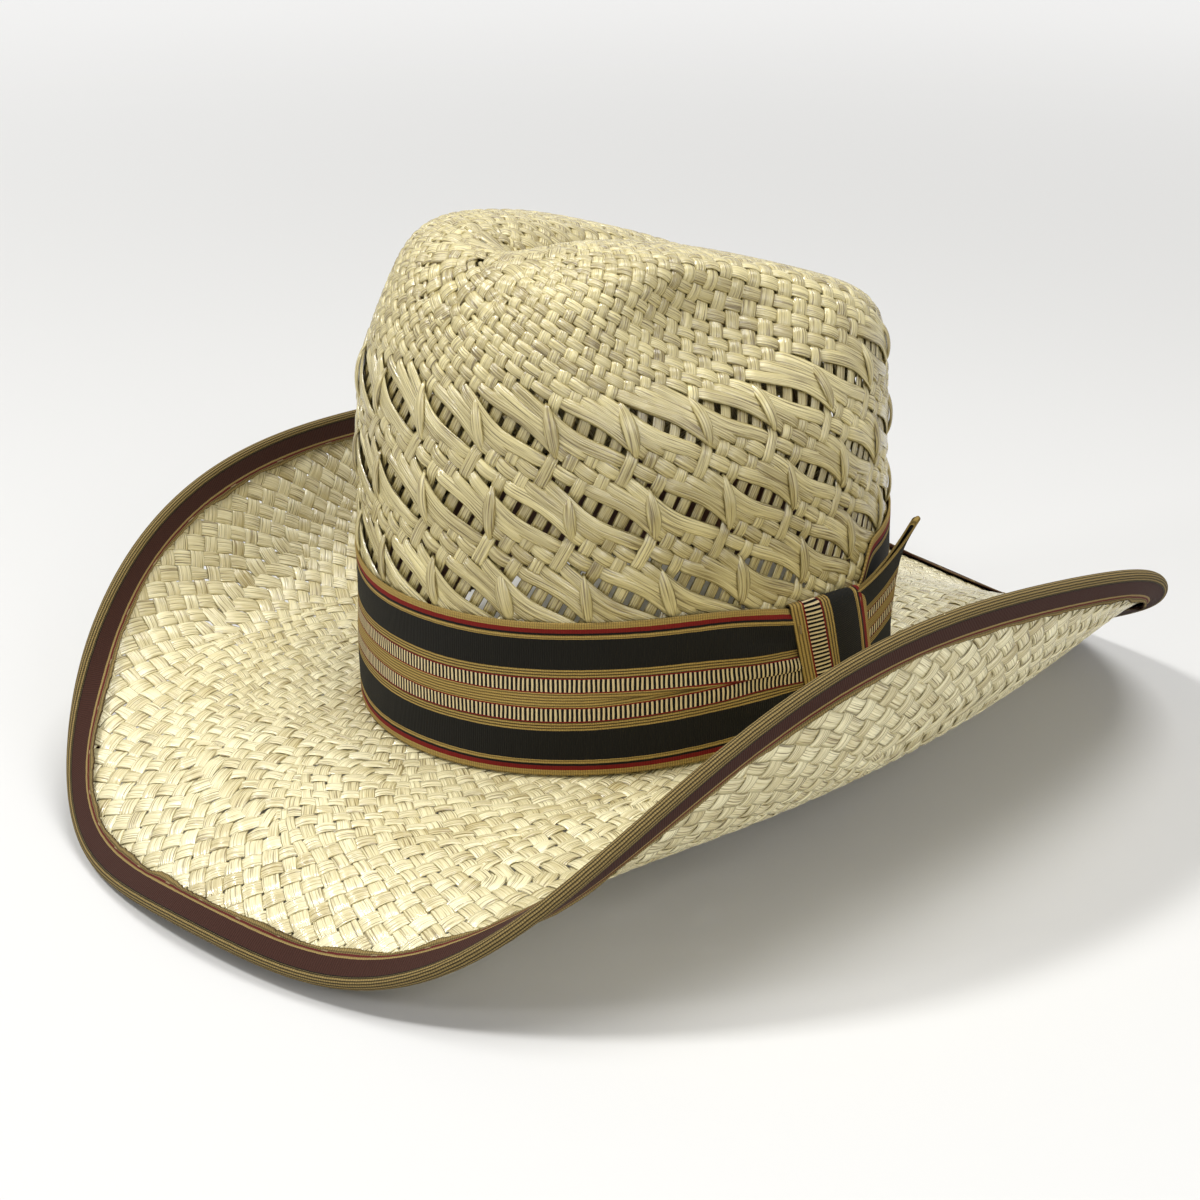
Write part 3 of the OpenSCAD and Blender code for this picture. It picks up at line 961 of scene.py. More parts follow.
    def strand(self, family: Family, index: int, rng: Rng) -> list[Run]:
        """Works out one strand from the crease down to the brim.

        Args:
            family: which way the strand runs.
            index: its number.
            rng: source of its small irregularities.

        Returns:
            Its unbroken runs.
        """
        falling, straw = family is Family.FALLING, self.straw
        lead, side = (self.long, self.short) if falling else (self.short, self.long)
        before, after = self.counts_above, self.counts_below
        if not falling:
            before, after = after, before
        low = int((lead * index - before) / side) - self.margin
        high = int((lead * index + after) / side) + self.margin
        ends = (low, high)
        cross = np.arange(low, high + 1)
        way = low + np.arange(0, (len(cross) - 1) * straw.steps + 1) / straw.steps
        wander = drift(rng, way, ends, 24, straw.wander)
        if falling:
            gather, raised = self.floats(index, way)
            over = self.falls_over(index, cross)
        else:
            gather, raised = 0 * way, 0 * way
            over = np.array([-self.falls_over(i, np.array([index]))[0] for i in cross])
        crossing, met, _ = self.thinned(family.other, cross, *self.along(family, cross, index))
        order = np.argsort(crossing[met])
        marks = np.interp(way, crossing[met][order], np.arange(int(met.sum())))
        own, there, room = self.thinned(family, np.full(way.shape, index), *self.along(family, way, index))
        a, b = self.along(family, way, own + gather + wander)

        stretch, vent = self.sheet.stretch(a, b), self.vented(b) * (not falling)
        floating = np.clip(raised / self.float_full, 0, 1)
        heights = straw.heights(marks, over[met][order]) * straw.wave - self.riser_sink * vent
        level = heights / straw.wave
        size = np.clip(stretch * room, self.least_size, 1)
        pinch = 1 + self.spread * floating - self.riser_pinch * vent
        jitter = drift(rng, way, ends, 40, straw.jitter, 1.0)
        room = np.clip(room, self.least_room, self.most_room)
        half = 0.5 * self.apart(family, b, stretch) * room * self.fill * pinch * jitter
        half = np.clip(half, self.narrowest, self.widest) * (1 - self.swell + self.swell * level)
        flat = floating * self.float_flat + self.riser_flat * vent
        thick = straw.thick * mixed(self.least_thick, 1, size) * (1 - flat)
        tone = 0.5 + rng.normal(0, straw.shade) + drift(rng, way, ends, 30, straw.shade_drift)
        # Painted shade: the tone darkens where the strand dives under its neighbours.
        tone = np.clip(tone - self.dip_painted_shade * np.clip(self.dip - level, 0, 1), 0, 1)

        limit = self.sheet.limit(a) - self.end
        past = np.clip(b - limit, 0, None)
        inward = unit(self.sheet.place(a, limit) - self.sheet.place(a, limit - self.inward_step))
        normal = self.sheet.facing(a, np.minimum(b, limit))
        lift = (heights + raised) * mixed(self.least_lift, 1, size)
        path = self.sheet.place(a, np.minimum(b, limit)) + inward * past[:, None] + normal * lift[:, None]
        inside = (b > self.lowest) & (past < self.overlap) & there
        return Run(path, normal, half, thick, way * self.pitch, tone).cut(inside)

    def tie(self, u: float, v: float, rng: Rng) -> Run:
        """Works out the upright strand that gathers a cluster.

        Args:
            u: the cluster's place along the falling strands.
            v: its place along the rising strands.
            rng: source of its small irregularities.

        Returns:
            The strand's course.
        """
        share = np.linspace(0, 1, self.tie_points)
        a0, b0 = self.spot(np.array([u]), np.array([v]))
        swell = np.sin(math.pi * share)
        reach = (share - 0.5) * self.tie_height * rng.normal(1, self.tie_length_spread)
        a = (a0 + rng.normal(self.tie_slope, self.tie_slope_spread) * reach
             + rng.normal(0, self.tie_bow) * swell)
        b = b0 + reach
        normal = self.sheet.facing(a, b)
        lift = self.tie_sink + self.tie_arch * np.clip(swell, 0, 1) ** 0.55
        path = self.sheet.place(a, b) + normal * lift[:, None]
        half = self.tie_width * rng.normal(0.5, self.straw.jitter) * mixed(self.tie_waist, 1, swell**0.75)
        tone = np.full(share.shape, np.clip(rng.normal(self.tie_tone, self.tie_tone_spread), 0, 1))
        return Run(path, normal, half, np.full(share.shape, self.tie_thick), reach, tone)

    def build(self) -> list[Piece]:
        """Makes the pieces of the crown's weave."""
        rng = np.random.default_rng(self.straw.seed)
        made = []
        for family, count in self.counts.items():
            for part, share in enumerate(np.array_split(np.arange(count), SHARES)):
                strips = Strips(f"crown_straw_{family.value}_{part + 1}")
                for index in share:
                    for run in self.strand(family, int(index), rng):
                        strips.add_strand(run, float(index + 100 * part), STRAW_PROFILE)
                made.append(strips.build())
        ties = Strips("crown_straw_ties")
        clusters = [(row, m) for row in self.vent_rows for m in range(self.repeats)]
        for number, (row, m) in enumerate(clusters, start=1):
            run = self.tie(4 * m + 3 * row + self.tie_shift, float(3 * m - 4 * row), rng)
            run.along = run.along + 40 * number
            ties.add_strand(run, 500.0 + number, STRAW_PROFILE)
        return [*made, ties.build()]


@dataclass
class Course:
    """One family of the brim's strands: where each begins, runs and stands beside its neighbours."""

    starts: Array
    angles: Array
    odd: Array
    gaps: Array


@dataclass
class BrimWeave:
    """The brim: plain weave at 45 degrees to its edge, with strands added in pairs as it widens."""

    form: BrimForm = BrimForm()
    straw: Straw = Straw(
        wave=0.46, thick=0.62, wander=0.0012, jitter=0.05, shade=0.15, shade_drift=0.14, seed=11)
    sink: float = 1.1
    pitch: float = 4.75
    pitch_growth: float = 1.2
    width: float = 90.0
    widest: float = 96.0
    inset: float = 0.95
    rings: tuple[float, ...] = (13.0, 33.0, 54.0)
    settle: float = 17.0
    step: float = 0.5
    sample: float = 0.95
    fill: float = 0.975
    swell: float = 0.05
    gap_least: float = 2.4
    gap_most: float = 7.4
    first: float = 0.3
    least_height: float = 0.35
    hole_chance: float = 0.03
    hole_depth: float = 0.3
    hole_reach: float = 0.6

    def __post_init__(self) -> None:
        """Unrolls the brim and works out how far round a strand has swirled at each length out."""
        self.sheet = brim_sheet(self.form, -self.sink)
        self.out = np.arange(0, self.sheet.reach.max() + 2, self.step)
        ring = np.linspace(0, TURN, COLUMNS)
        girths, turns = [], []
        for out in self.out:
            stretch = self.sheet.stretch(ring, 0 * ring + out)
            run = np.concatenate([[0], np.cumsum((stretch[1:] + stretch[:-1]) / 2)]) * (ring[1] - ring[0])
            girths.append(run[-1])
            turns.append(np.interp(ring, run / run[-1] * TURN, ring))
        self.girth, self.turns = np.array(girths), np.stack(turns, axis=1)
        self.swirl = np.cumsum(TURN / self.girth) * self.step

    def turn_at(self, share: Array, out: Array) -> Array:
        """The angle t of places an even share round the brim, 2 pi for once round, at their length out."""
        last = np.array(self.turns.shape) - 1 - SHY
        return between(self.turns, np.mod(share, TURN) / TURN * last[0], np.clip(out / self.step, 0, last[1]))

    def wanted(self, out: float) -> int:
        """The even number of strands of one family that fills the brim at a length out."""
        pitch = self.pitch + self.pitch_growth * out / self.width
        return 2 * round(float(np.interp(out, self.out, self.girth)) / (pitch * math.sqrt(2)) / 2)

    def course(self, rng: Rng) -> Course:
        """Lays out one family, adding pairs of strands ring by ring.

        Args:
            rng: source of where the pairs come in.

        Returns:
            The family's strands, in order round the brim.
        """
        count = self.wanted(self.rings[0] / 2)
        labels, starts = np.arange(count), np.full(count, -5.0)
        angles = np.repeat((TURN * labels / count)[:, None], len(self.out), 1)
        for at, end in zip(self.rings, (*self.rings[1:], self.width)):
            wanted = max(self.wanted((at + end) / 2 + 3), count)
            pairs = (wanted - count) // 2
            moved = labels + 2 * np.floor(labels * pairs / count + rng.random()).astype(int)
            fresh = np.setdiff1d(np.arange(wanted), moved)
            ends = np.concatenate([[moved[-1] - wanted], moved, [moved[0] + wanted]])
            here = TURN * np.concatenate([[labels[-1] - count], labels, [labels[0] + count]]) / count
            begin = np.interp(fresh, ends, here)[:, None]
            share = eased((self.out - at) / self.settle)
            goal, fresh_goal = ((TURN * v / wanted)[:, None] for v in (moved, fresh))
            angles = np.where(self.out < at, angles, mixed((TURN * labels / count)[:, None], goal, share))
            order = np.argsort(np.concatenate([moved, fresh]))
            angles = np.concatenate([angles, mixed(begin, fresh_goal, share)])[order]
            starts = np.concatenate([starts, np.full(len(fresh), at)])[order]
            labels, count = np.arange(wanted), wanted
        gaps = np.ones_like(angles)
        for k, out in enumerate(self.out):
            live = np.flatnonzero(starts <= out)
            place = angles[live, k]
            gaps[live, k] = np.mod(np.roll(place, -1) - np.roll(place, 1), TURN) / 2
        return Course(starts, angles, labels % 2, gaps)

    def crossings(self, way: int, index: int, mine: Course, other: Course) -> tuple[Array, Array]:
        """Where a strand crosses the other family.

        Args:
            way: +1 if it falls and -1 if it rises.
            index: its number.
            mine: the family it belongs to.
            other: the family it crosses.

        Returns:
            Lengths out of its crossings, and +1 or -1 for over or under at each.
        """
        turn = mine.angles[index] + way * self.swirl
        gap = (turn - other.angles + way * self.swirl) * way / TURN
        cell = np.floor(gap)
        live = (self.out[:-1] >= other.starts[:, None]) & (self.out[:-1] >= mine.starts[index])
        hit, step = np.nonzero((cell[:, 1:] != cell[:, :-1]) & live)
        part = (cell[hit, step + 1] - gap[hit, step]) / (gap[hit, step + 1] - gap[hit, step])
        at = self.out[step] + part * self.step
        order = np.argsort(at)
        return at[order], np.where((mine.odd[index] + other.odd[hit[order]]) % 2 == 0, 1.0, -1.0) * way

    def strand(self, way: int, index: int, mine: Course, other: Course, rng: Rng) -> list[Run]:
        """Works out one strand from the crown, or from where it is added, to the edge.

        Args:
            way: +1 if it falls and -1 if it rises.
            index: its number.
            mine: the family it belongs to.
            other: the family it crosses.
            rng: source of its small irregularities.

        Returns:
            Its unbroken runs.
        """
        straw, ends = self.straw, (0, self.widest)
        at, over = self.crossings(way, index, mine, other)
        turn = mine.angles[index] + way * self.swirl
        s = np.arange(max(mine.starts[index], self.first), self.out[-1] - 1, self.sample)
        marks = np.interp(s, at, np.arange(len(at)))
        apart = np.interp(s, (at[1:] + at[:-1]) / 2, np.diff(at)) * math.sqrt(2) / self.pitch
        heights = straw.heights(marks, over) * np.clip(apart, self.least_height, 1)
        wander = drift(rng, s, ends, 22, straw.wander)
        t = self.turn_at(np.interp(s, self.out, turn) + wander, s)
        metre = np.interp(s, self.out, self.girth) / TURN
        swing = np.interp(s, self.out, np.gradient(turn, self.step)) * metre
        gaps = np.interp(s, self.out, mine.gaps[index]) * metre / np.hypot(swing, 1)
        jitter = drift(rng, s, ends, 34, straw.jitter, 1.0)
        half = 0.5 * np.clip(gaps, self.gap_least, self.gap_most) * self.fill * jitter
        half = half * (1 - self.swell + self.swell * heights)
        for hole in np.flatnonzero(rng.random(len(at)) < self.hole_chance):
            half = half * (1 - self.hole_depth * np.exp(-(((marks - hole - 0.5) / self.hole_reach) ** 2)))
        tone = np.clip(0.5 + rng.normal(0, straw.shade) + drift(rng, s, ends, 26, straw.shade_drift), 0, 1)
        normal = -self.sheet.facing(t, s)
        path = self.sheet.place(t, s) + normal * (heights * straw.wave)[:, None]
        inside = s < self.sheet.limit(t) - self.inset
        return Run(path, normal, half, np.full(s.shape, straw.thick), s * math.sqrt(2), tone).cut(inside)

    def build(self) -> list[Piece]:
        """Makes the pieces of the brim's weave."""
        rng = np.random.default_rng(self.straw.seed)
        courses = {family: self.course(rng) for family in Family}
        made = []
        for family, mine in courses.items():
            way = 1 if family is Family.FALLING else -1
            for part, share in enumerate(np.array_split(np.arange(len(mine.starts)), SHARES)):
                strips = Strips(f"brim_straw_{family.value}_{part + 1}")
                for index in share:
                    for run in self.strand(way, index, mine, courses[family.other], rng):
                        strips.add_strand(run, float(index + 300), FLAT_PROFILE)
                made.append(strips.build())
        return made


# ---------------------------------------------------------------- ribbons


@dataclass(frozen=True)
class BandForm:
    """Where the hat band lies on the crown. Lengths in millimetres, angles in radians."""

    crown: CrownForm = CrownForm()
    foot: float = 0.6
    width: float = 52.3
    thick: float = 0.7
    off: float = 0.95
    round_scale: float = 92.0
    gather: float = 14.0
    gather_middle: float = math.radians(98)
    gather_before: float = math.radians(22)
    gather_after: float = math.radians(9)
    pleat: float = 4.8
    pleat_from: float = math.radians(40)
    pleat_full: float = math.radians(72)
    pleat_end: float = math.radians(150)
    pleat_fade: float = math.radians(40)
    pleat_deep: float = 1.6
    pucker: float = 0.5
    pucker_middle: float = math.radians(84)
    pucker_reach: float = math.radians(30)
    wave: float = 0.22
    ripple: float = 0.16
    lip: float = 0.5
    crease: float = 0.75

    def top(self, t: Array) -> Array:
        """Height of the band's upper edge.

        Args:
            t: direction round the hat from the front, in radians.

        Returns:
            Heights in millimetres.
        """
        past = (t + math.pi) % TURN - math.pi - self.gather_middle
        before = np.exp(-((past / self.gather_before) ** 2))
        after = np.exp(-((past / self.gather_after) ** 4))
        return self.foot + self.width - self.gather * np.where(past < 0, before, after)

    def swallowed(self, t: Array) -> Array:
        """How much of the ribbon's middle has gone into the pleat.

        Args:
            t: direction round the hat from the front, in radians.

        Returns:
            Widths in millimetres.
        """
        before = np.clip((t - self.pleat_from) / (self.pleat_full - self.pleat_from), 0, 1)
        after = np.clip((self.pleat_end - t) / self.pleat_fade, 0, 1)
        return self.pleat * before**1.2 * eased(after)

    def off_crown(self, t: Array, place: Array, hidden: Array) -> Array:
        """Distance of the ribbon from the crown.

        Args:
            t: direction round the hat.
            place: place across the ribbon, -1 at its foot, 0 in its pleat and 1 at its upper edge.
            hidden: how much of it has gone into the pleat.

        Returns:
            The distance, with its waves, the puckers near the knot and the pleat's lip.
        """
        pleated = np.clip(hidden / self.pleat_deep, 0, 1)
        near = eased(np.clip(1 - np.abs(t - self.pucker_middle) / self.pucker_reach, 0, 1))
        wave = self.wave * np.sin(5 * t + 2.2 * place) + self.ripple * np.sin(11 * t - 4 * place + 1)
        pucker = self.pucker * near * np.sin(9 * place + 14 * t)
        pucker = pucker + 0.7 * self.pucker * near * np.sin(17 * place - 9 * t)
        lip = self.lip * np.exp(-((np.maximum(place, 0) / 0.1) ** 2)) * (place > 0)
        crease = -self.crease * (place == 0) - 0.35 * np.exp(-((place / 0.06) ** 2)) * (place < 0)
        press = np.clip((1 - np.abs(place)) / 0.15, 0.25, 1)
        return self.off + press * (wave + pucker) + pleated * (lip + crease)

    def build(self) -> Ribbon:
        """Makes the band: one length of ribbon, pleated along its middle towards the knot."""
        strips = Strips("hat_band")
        t = np.linspace(-math.pi, math.pi, 901)[:-1, None]
        inner = np.linspace(0.1, 0.9, 18)
        low = np.array([0.0, 0.02, 0.05, *inner, 0.95, 0.985])[None, :]
        high = np.array([0.02, 0.05, *inner, 0.95, 0.98, 1.0])[None, :]
        hidden, top, half = self.swallowed(t), self.top(t), self.width / 2
        fold = self.foot + (half - hidden / 2) * (top - self.foot) / (self.width - hidden)
        z = np.concatenate([mixed(self.foot, fold, low), fold, mixed(fold, top, high)], axis=1)
        across = np.concatenate(
            [mixed(-half, -hidden / 2, low), 0 * fold, mixed(hidden / 2, half, high)], axis=1)
        place = np.concatenate([low - 1 + 0 * t, 0 * fold, high + 0 * t], axis=1)
        turn = np.broadcast_to(t, z.shape)
        middle = self.crown.wall(turn, z, self.off_crown(t, place, hidden))
        strips.add_cloth(middle, turn * self.round_scale, across, self.thick, closed=True)
        return Ribbon(strips.build(), strips.size, Hold.STRETCHED, "crown_wall")


@dataclass(frozen=True)
class BowForm:
    """The bow: a knot of ribbon round the band, and the loop that runs back from under it."""

    band: BandForm = BandForm()
    knot_from: float = 80.0
    knot_to: float = 100.5
    knot_off: float = 1.3
    knot_step: float = 2.1
    knot_bulge: float = 0.9
    knot_sag: float = 0.25
    knot_thick: float = 0.8
    knot_gap: float = 0.5
    knot_crown: float = 0.9
    roll_height: float = 1.1
    roll_growth: float = 1.5
    slant: float = 6.4
    top_front: float = 45.4
    top_back: float = 38.9
    loop_from: float = 88.5
    loop_to: float = 120.3
    loop_foot: float = 40.0
    loop_off: float = 2.1
    loop_ripple: float = 0.45
    loop_reach: float = 0.86
    loop_lean: float = 7.0
    loop_thick: float = 0.6
    loop_tone: float = 0.62
    flare_top: float = 10.5
    flare_foot: float = 3.0
    rise: float = 16.0
    edge: float = -26.1

    def knot(self) -> Ribbon:
        """Makes the knot: half of the ribbon's width, folded at its middle, over band and loop."""
        strips = Strips("bow_knot_ribbon")
        s = np.linspace(0, 1, 41)[None, :]
        v = np.linspace(0, 1, 41)[:, None]
        top = mixed(self.top_front, self.top_back, s) + self.knot_crown * np.sin(math.pi * s)
        z = mixed(self.band.foot + 1.0, top, v)
        t = np.radians(mixed(self.knot_from, self.knot_to, s) + self.slant * (1 - z / 51))
        under = self.knot_off + self.knot_step * np.sin(math.pi / 2 * np.minimum(s / 0.35, 1)) ** 2
        bulge = self.knot_bulge * np.sin(math.pi * s) ** 0.7 * np.sin(math.pi * np.clip(v, 0.02, 1)) ** 0.5
        sag = self.knot_sag * np.sin(7 * v + 3 * s) * np.sin(math.pi * s)
        off = under + bulge + sag + self.knot_gap
        body = self.band.crown.wall(t, z, off)
        # over the top edge of the band and down behind it
        roll = np.linspace(0, math.pi, 10)[1:, None]
        cap_z = top + (self.roll_height + self.roll_growth * s) * np.sin(roll)
        cap_off = off[-1:] / 2 * (1 + np.cos(roll))
        cap = self.band.crown.wall(np.broadcast_to(t[-1:], cap_z.shape), cap_z, cap_off)
        along = np.concatenate([z, top + 1.6 * roll + 0 * s])
        across = np.broadcast_to(mixed(0.9, self.edge, s), along.shape)
        strips.add_cloth(np.concatenate([body, cap]), along, across, self.knot_thick, flip=True)
        return Ribbon(strips.build(), strips.size, Hold.FOLDED, "hat_band")

    def loop(self) -> Ribbon:
        """Makes the loop: a length of ribbon that runs back, folds at its end and returns."""
        strips = Strips("bow_loop_ribbon")
        v = np.linspace(0, 1, 45)[None, :]
        out = np.linspace(0.12, 0.97, 40)[:, None]
        bend = np.linspace(-math.pi / 2, math.pi / 2, 9)[1:-1, None]
        reach = mixed(self.loop_reach, 1, v**12) + 0.006 * np.sin(9 * v + 1)
        end_gap = mixed(0.9, 1.15, v**3)
        gap = mixed(0.35, end_gap, out**2)
        way = np.concatenate([out * reach, reach * (0.97 + 0.022 * np.cos(bend)), out[::-1] * reach])
        layer = np.concatenate([gap, end_gap * -np.sin(bend), -gap[::-1]])
        t = mixed(self.loop_from, self.loop_to, way)
        z = mixed(self.band.foot + 1 + self.loop_lean * way, self.loop_foot + self.rise * way**2.2, v)
        lift = self.loop_off + mixed(self.flare_foot, self.flare_top, v**3.5) * way**2
        ripple = self.loop_ripple * way**2 * np.sin(8 * v + 4 * way)
        middle = self.band.crown.wall(np.radians(t), z, lift + ripple + layer)
        along = np.cumsum(np.linalg.norm(np.diff(middle, axis=0, prepend=middle[:1]), axis=-1), axis=0)
        across = mixed(self.edge, 22.0, v) + 0 * along
        strips.add_cloth(middle, along, across, self.loop_thick, tone=self.loop_tone)
        return Ribbon(strips.build(), strips.size, Hold.FOLDED, "hat_band")


@dataclass(frozen=True)
class HemForm:
    """The ribbon folded over the brim's edge, its stitches and the wire inside it. Millimetres."""

    brim: BrimForm = BrimForm()
    width: float = 9.2
    thick: float = 0.55
    lift: float = 1.9
    fold: float = 1.35
    fold_pattern: float = 3.0
    middle: float = -1.1
    columns: int = 1561
    cuts: tuple[float, ...] = (0.0, 0.35, 1.0, 1.9, 3.0, 4.3, 5.7, 7.0, 8.1, 8.8, 9.2)
    loose_from: float = 6.0
    loose: float = 0.5
    fray: float = 0.12
    curl: float = 0.4
    seed: int = 5
    stitches: int = 60
    stitch_turn: float = math.radians(0.9)
    stitch_in: float = 1.3
    stitch_dip: float = 0.45
    thread: float = 0.22
    wire: float = 0.75
    wire_out: float = -0.1
    sleeve: float = 0.85
    sleeve_reach: float = 0.05
    gap: float = math.radians(1.2)

    def ring(self, t: Array, d: Array, up: Array | float) -> Array:
        """Points a distance in from the brim's edge and a distance off the straw's middle."""
        u = self.share(t, d)
        return self.brim.top(t, u) + self.brim.axes(t, u)[2] * (np.asarray(up) + self.middle + 0 * t)[:, None]

    def share(self, t: Array, d: Array) -> Array:
        """Finds a place on the brim by its distance from the edge.

        Args:
            t: direction round the hat from the front, in radians.
            d: distance in from the edge, along the curl.

        Returns:
            0 at the crown and 1 at the edge.
        """
        edge = self.brim.top(t, np.ones_like(t))
        near = np.linalg.norm(edge - self.brim.top(t, 0 * t + 0.97), axis=-1) / 0.03
        u = 1 - d / near
        for _ in range(2):
            gone = np.linalg.norm(edge - self.brim.top(t, u), axis=-1)
            u = 1 - (1 - u) * np.where(gone > 1e-6, d / np.maximum(gone, 1e-6), 1)
        return u

    def wandering(self, t: Array, rng: Rng, count: int) -> Array:
        """Slow wander round the brim, about one in size.

        Args:
            t: direction round the hat from the front, in radians.
            rng: source of the wander.
            count: how many values are drawn.

        Returns:
            A value at every direction.
        """
        wander = rng.normal(0, 1, count)
        wander[-1] = wander[0]
        return np.interp(np.mod(t, TURN), np.linspace(0, TURN, count), wander)

    def face(self, t: Array, side: int, rng: Rng) -> list[tuple[Array, Array]]:
        """The binding over one face of the brim, from its fold inwards.

        Args:
            t: directions round the hat.
            side: +1 for the upper face and -1 for the lower one.
            rng: source of its loose inner edge.

        Returns:
            Rows of points, each with its place across the ribbon's pattern.
        """
        wild = self.loose * self.wandering(t, rng, 150) + self.fray * rng.normal(0, 1, t.size)
        curl = self.curl + 0.5 * np.clip(self.wandering(t, rng, 60), -0.6, 2)
        rows = []
        for d in self.cuts:
            loose = np.clip((d - self.loose_from) / (self.width - self.loose_from), 0, 1) ** 3
            points = self.ring(t, d + wild * loose, side * (self.lift + curl * loose))
            rows.append((points, side * (self.fold_pattern + d) + 0 * t))
        return rows

    def binding(self) -> Ribbon:
        """Makes the binding, one ribbon all the way round, its ends meeting at the back."""
        strips = Strips("edge_binding")
        t = math.pi + np.linspace(0, TURN, self.columns)[:-1]
        rng = np.random.default_rng(self.seed)
        rows = self.face(t, 1, rng)[::-1]
        end = np.ones_like(t)
        out, _, normal = self.brim.axes(t, end * 0.999)
        for a in np.linspace(math.pi / 2, -math.pi / 2, 11)[1:-1]:
            off = self.lift * math.sin(a) + self.middle
            points = self.brim.top(t, end) + out * (self.fold * math.cos(a)) + normal * off
            rows.append((points, self.fold_pattern * a / (math.pi / 2) + 0 * t))
        rows += self.face(t, -1, rng)
        middle, across = (np.stack(v, axis=1) for v in zip(*rows))
        run = run_of(self.brim.edge(t))
        along = np.repeat(run[:, None], middle.shape[1], 1)
        strips.add_cloth(middle, along, across, self.thick, closed=True, flip=True)
        return Ribbon(strips.build(), strips.size, Hold.FOLDED, "brim")

    def stitching(self) -> Piece:
        """Makes the stitches that hold the binding's inner edge."""
        strips = Strips("edge_stitching")
        dip = self.stitch_dip * np.sin(np.linspace(0, math.pi, 9))
        for k in range(self.stitches):
            t = TURN * k / self.stitches + np.linspace(0, self.stitch_turn, 9)
            path = self.ring(t, 0 * t + self.width - self.stitch_in, self.lift + 0.05 + dip)
            strips.add_tube(path, self.thread)
        return strips.build()

    def core(self, name: str, turn: Array, radius: float) -> Piece:
        """Makes a metal piece of the fold: the wire, or the sleeve that joins its ends.

        Args:
            name: its name.
            turn: directions round the hat that it runs through.
            radius: its radius.

        Returns:
            The piece.
        """
        strips = Strips(name)
        out, _, normal = self.brim.axes(turn, 0.999 + 0 * turn)
        path = self.brim.top(turn, 1 + 0 * turn) + out * self.wire_out + normal * self.middle
        strips.add_tube(path, radius)
        return strips.build()

    def edge_wire(self) -> Piece:
        """Makes the wire, all the way round but for a gap at the back."""
        reach = math.pi - self.gap
        return self.core("edge_wire", np.linspace(-reach, reach, COLUMNS), self.wire)

    def edge_sleeve(self) -> Piece:
        """Makes the sleeve over the gap in the wire."""
        turn = math.pi + np.linspace(-self.sleeve_reach, self.sleeve_reach, 13)
        return self.core("edge_wire_sleeve", turn, self.sleeve)


# ---------------------------------------------------------------- finishes


class NodeKit:
    """Adds nodes to a node tree and joins them."""

    def __init__(self, tree: bpy.types.NodeTree) -> None:
        """Takes the tree to work on."""
        self.tree = tree

    def fill(self, node: bpy.types.Node, terms: dict[int | str, object]) -> bpy.types.Node:
        """Sets a node's inputs from sockets, numbers or colours.

        Args:
            node: the node.
            terms: a socket, number or colour for each input, by name or place.

        Returns:
            The node.
        """
        for key, term in terms.items():
            if isinstance(term, Socket):
                self.tree.links.new(term, node.inputs[key])
            else:
                node.inputs[key].default_value = (*term[:3], 1) if isinstance(term, tuple) else term
        return node

    def node(
        self, kind: str, terms: dict[int | str, object] | None = None, **values: object
    ) -> bpy.types.Node:
        """Adds a node, sets its properties and fills its inputs.

        Args:
            kind: its type's name, without ShaderNode.
            terms: what its inputs take.
            values: its properties.

        Returns:
            The node.
        """
        made = self.tree.nodes.new("ShaderNode" + kind)
        for key, value in values.items():
            setattr(made, key, value)
        return self.fill(made, terms or {})

    def maths(self, operation: str, *terms: object) -> Socket:
        """The result of a Math node on sockets or numbers."""
        return self.node("Math", dict(enumerate(terms)), operation=operation).outputs[0]

    def times(self, *terms: object) -> Socket:
        """Two values multiplied."""
        return self.maths("MULTIPLY", *terms)

    def scaled(self, value: object, by: object, plus: object) -> Socket:
        """A value multiplied, with something added."""
        return self.maths("MULTIPLY_ADD", value, by, plus)

    def split(self, vector: Socket) -> tuple[Socket, ...]:
        """The three parts of a vector."""
        return tuple(self.node("SeparateXYZ", {0: vector}).outputs)

    def vector(self, *terms: object) -> Socket:
        """A vector from three sockets or numbers."""
        return self.node("CombineXYZ", dict(enumerate(terms))).outputs[0]

    def noise(self, place: Socket, detail: float, scale: float | Socket = 1.0) -> Socket:
        """Noise, from 0 to 1, at a place."""
        return self.node("TexNoise", {"Scale": scale, "Detail": detail, "Vector": place}).outputs["Fac"]

    def blend(self, share: object, a: object, b: object) -> Socket:
        """A colour between two, by a share."""
        return self.node("Mix", {0: share, 6: a, 7: b}, data_type="RGBA", blend_type="MIX").outputs[2]

    def ranged(self, value: Socket, **ends: float) -> Socket:
        """A value mapped from one range to another, as from_min=0.2, to_max=3."""
        terms = {key.replace("_", " ").title(): end for key, end in ends.items()}
        return self.node("MapRange", {"Value": value, **terms}).outputs[0]


class GroupKit(NodeKit):
    """Builds a shader node group with named sockets."""

    def __init__(self, name: str) -> None:
        """Starts an empty group.

        Args:
            name: the group's name.
        """
        super().__init__(bpy.data.node_groups.new(name, "ShaderNodeTree"))
        self.start = self.tree.nodes.new("NodeGroupInput")
        self.end = self.tree.nodes.new("NodeGroupOutput")

    def takes(self, name: str, kind: str, default: float | None = None) -> Socket:
        """Adds an input.

        Args:
            name: the input's name.
            kind: Float, Vector or Color.
            default: its value where nothing feeds it.

        Returns:
            The socket that its value comes from.
        """
        socket = self.tree.interface.new_socket(name=name, in_out="INPUT", socket_type="NodeSocket" + kind)
        if default is not None:
            socket.default_value = default
        return self.start.outputs[name]

    def gives(self, name: str, kind: str, source: Socket) -> None:
        """Adds an output fed by source."""
        self.tree.interface.new_socket(name=name, in_out="OUTPUT", socket_type="NodeSocket" + kind)
        self.tree.links.new(source, self.end.inputs[name])


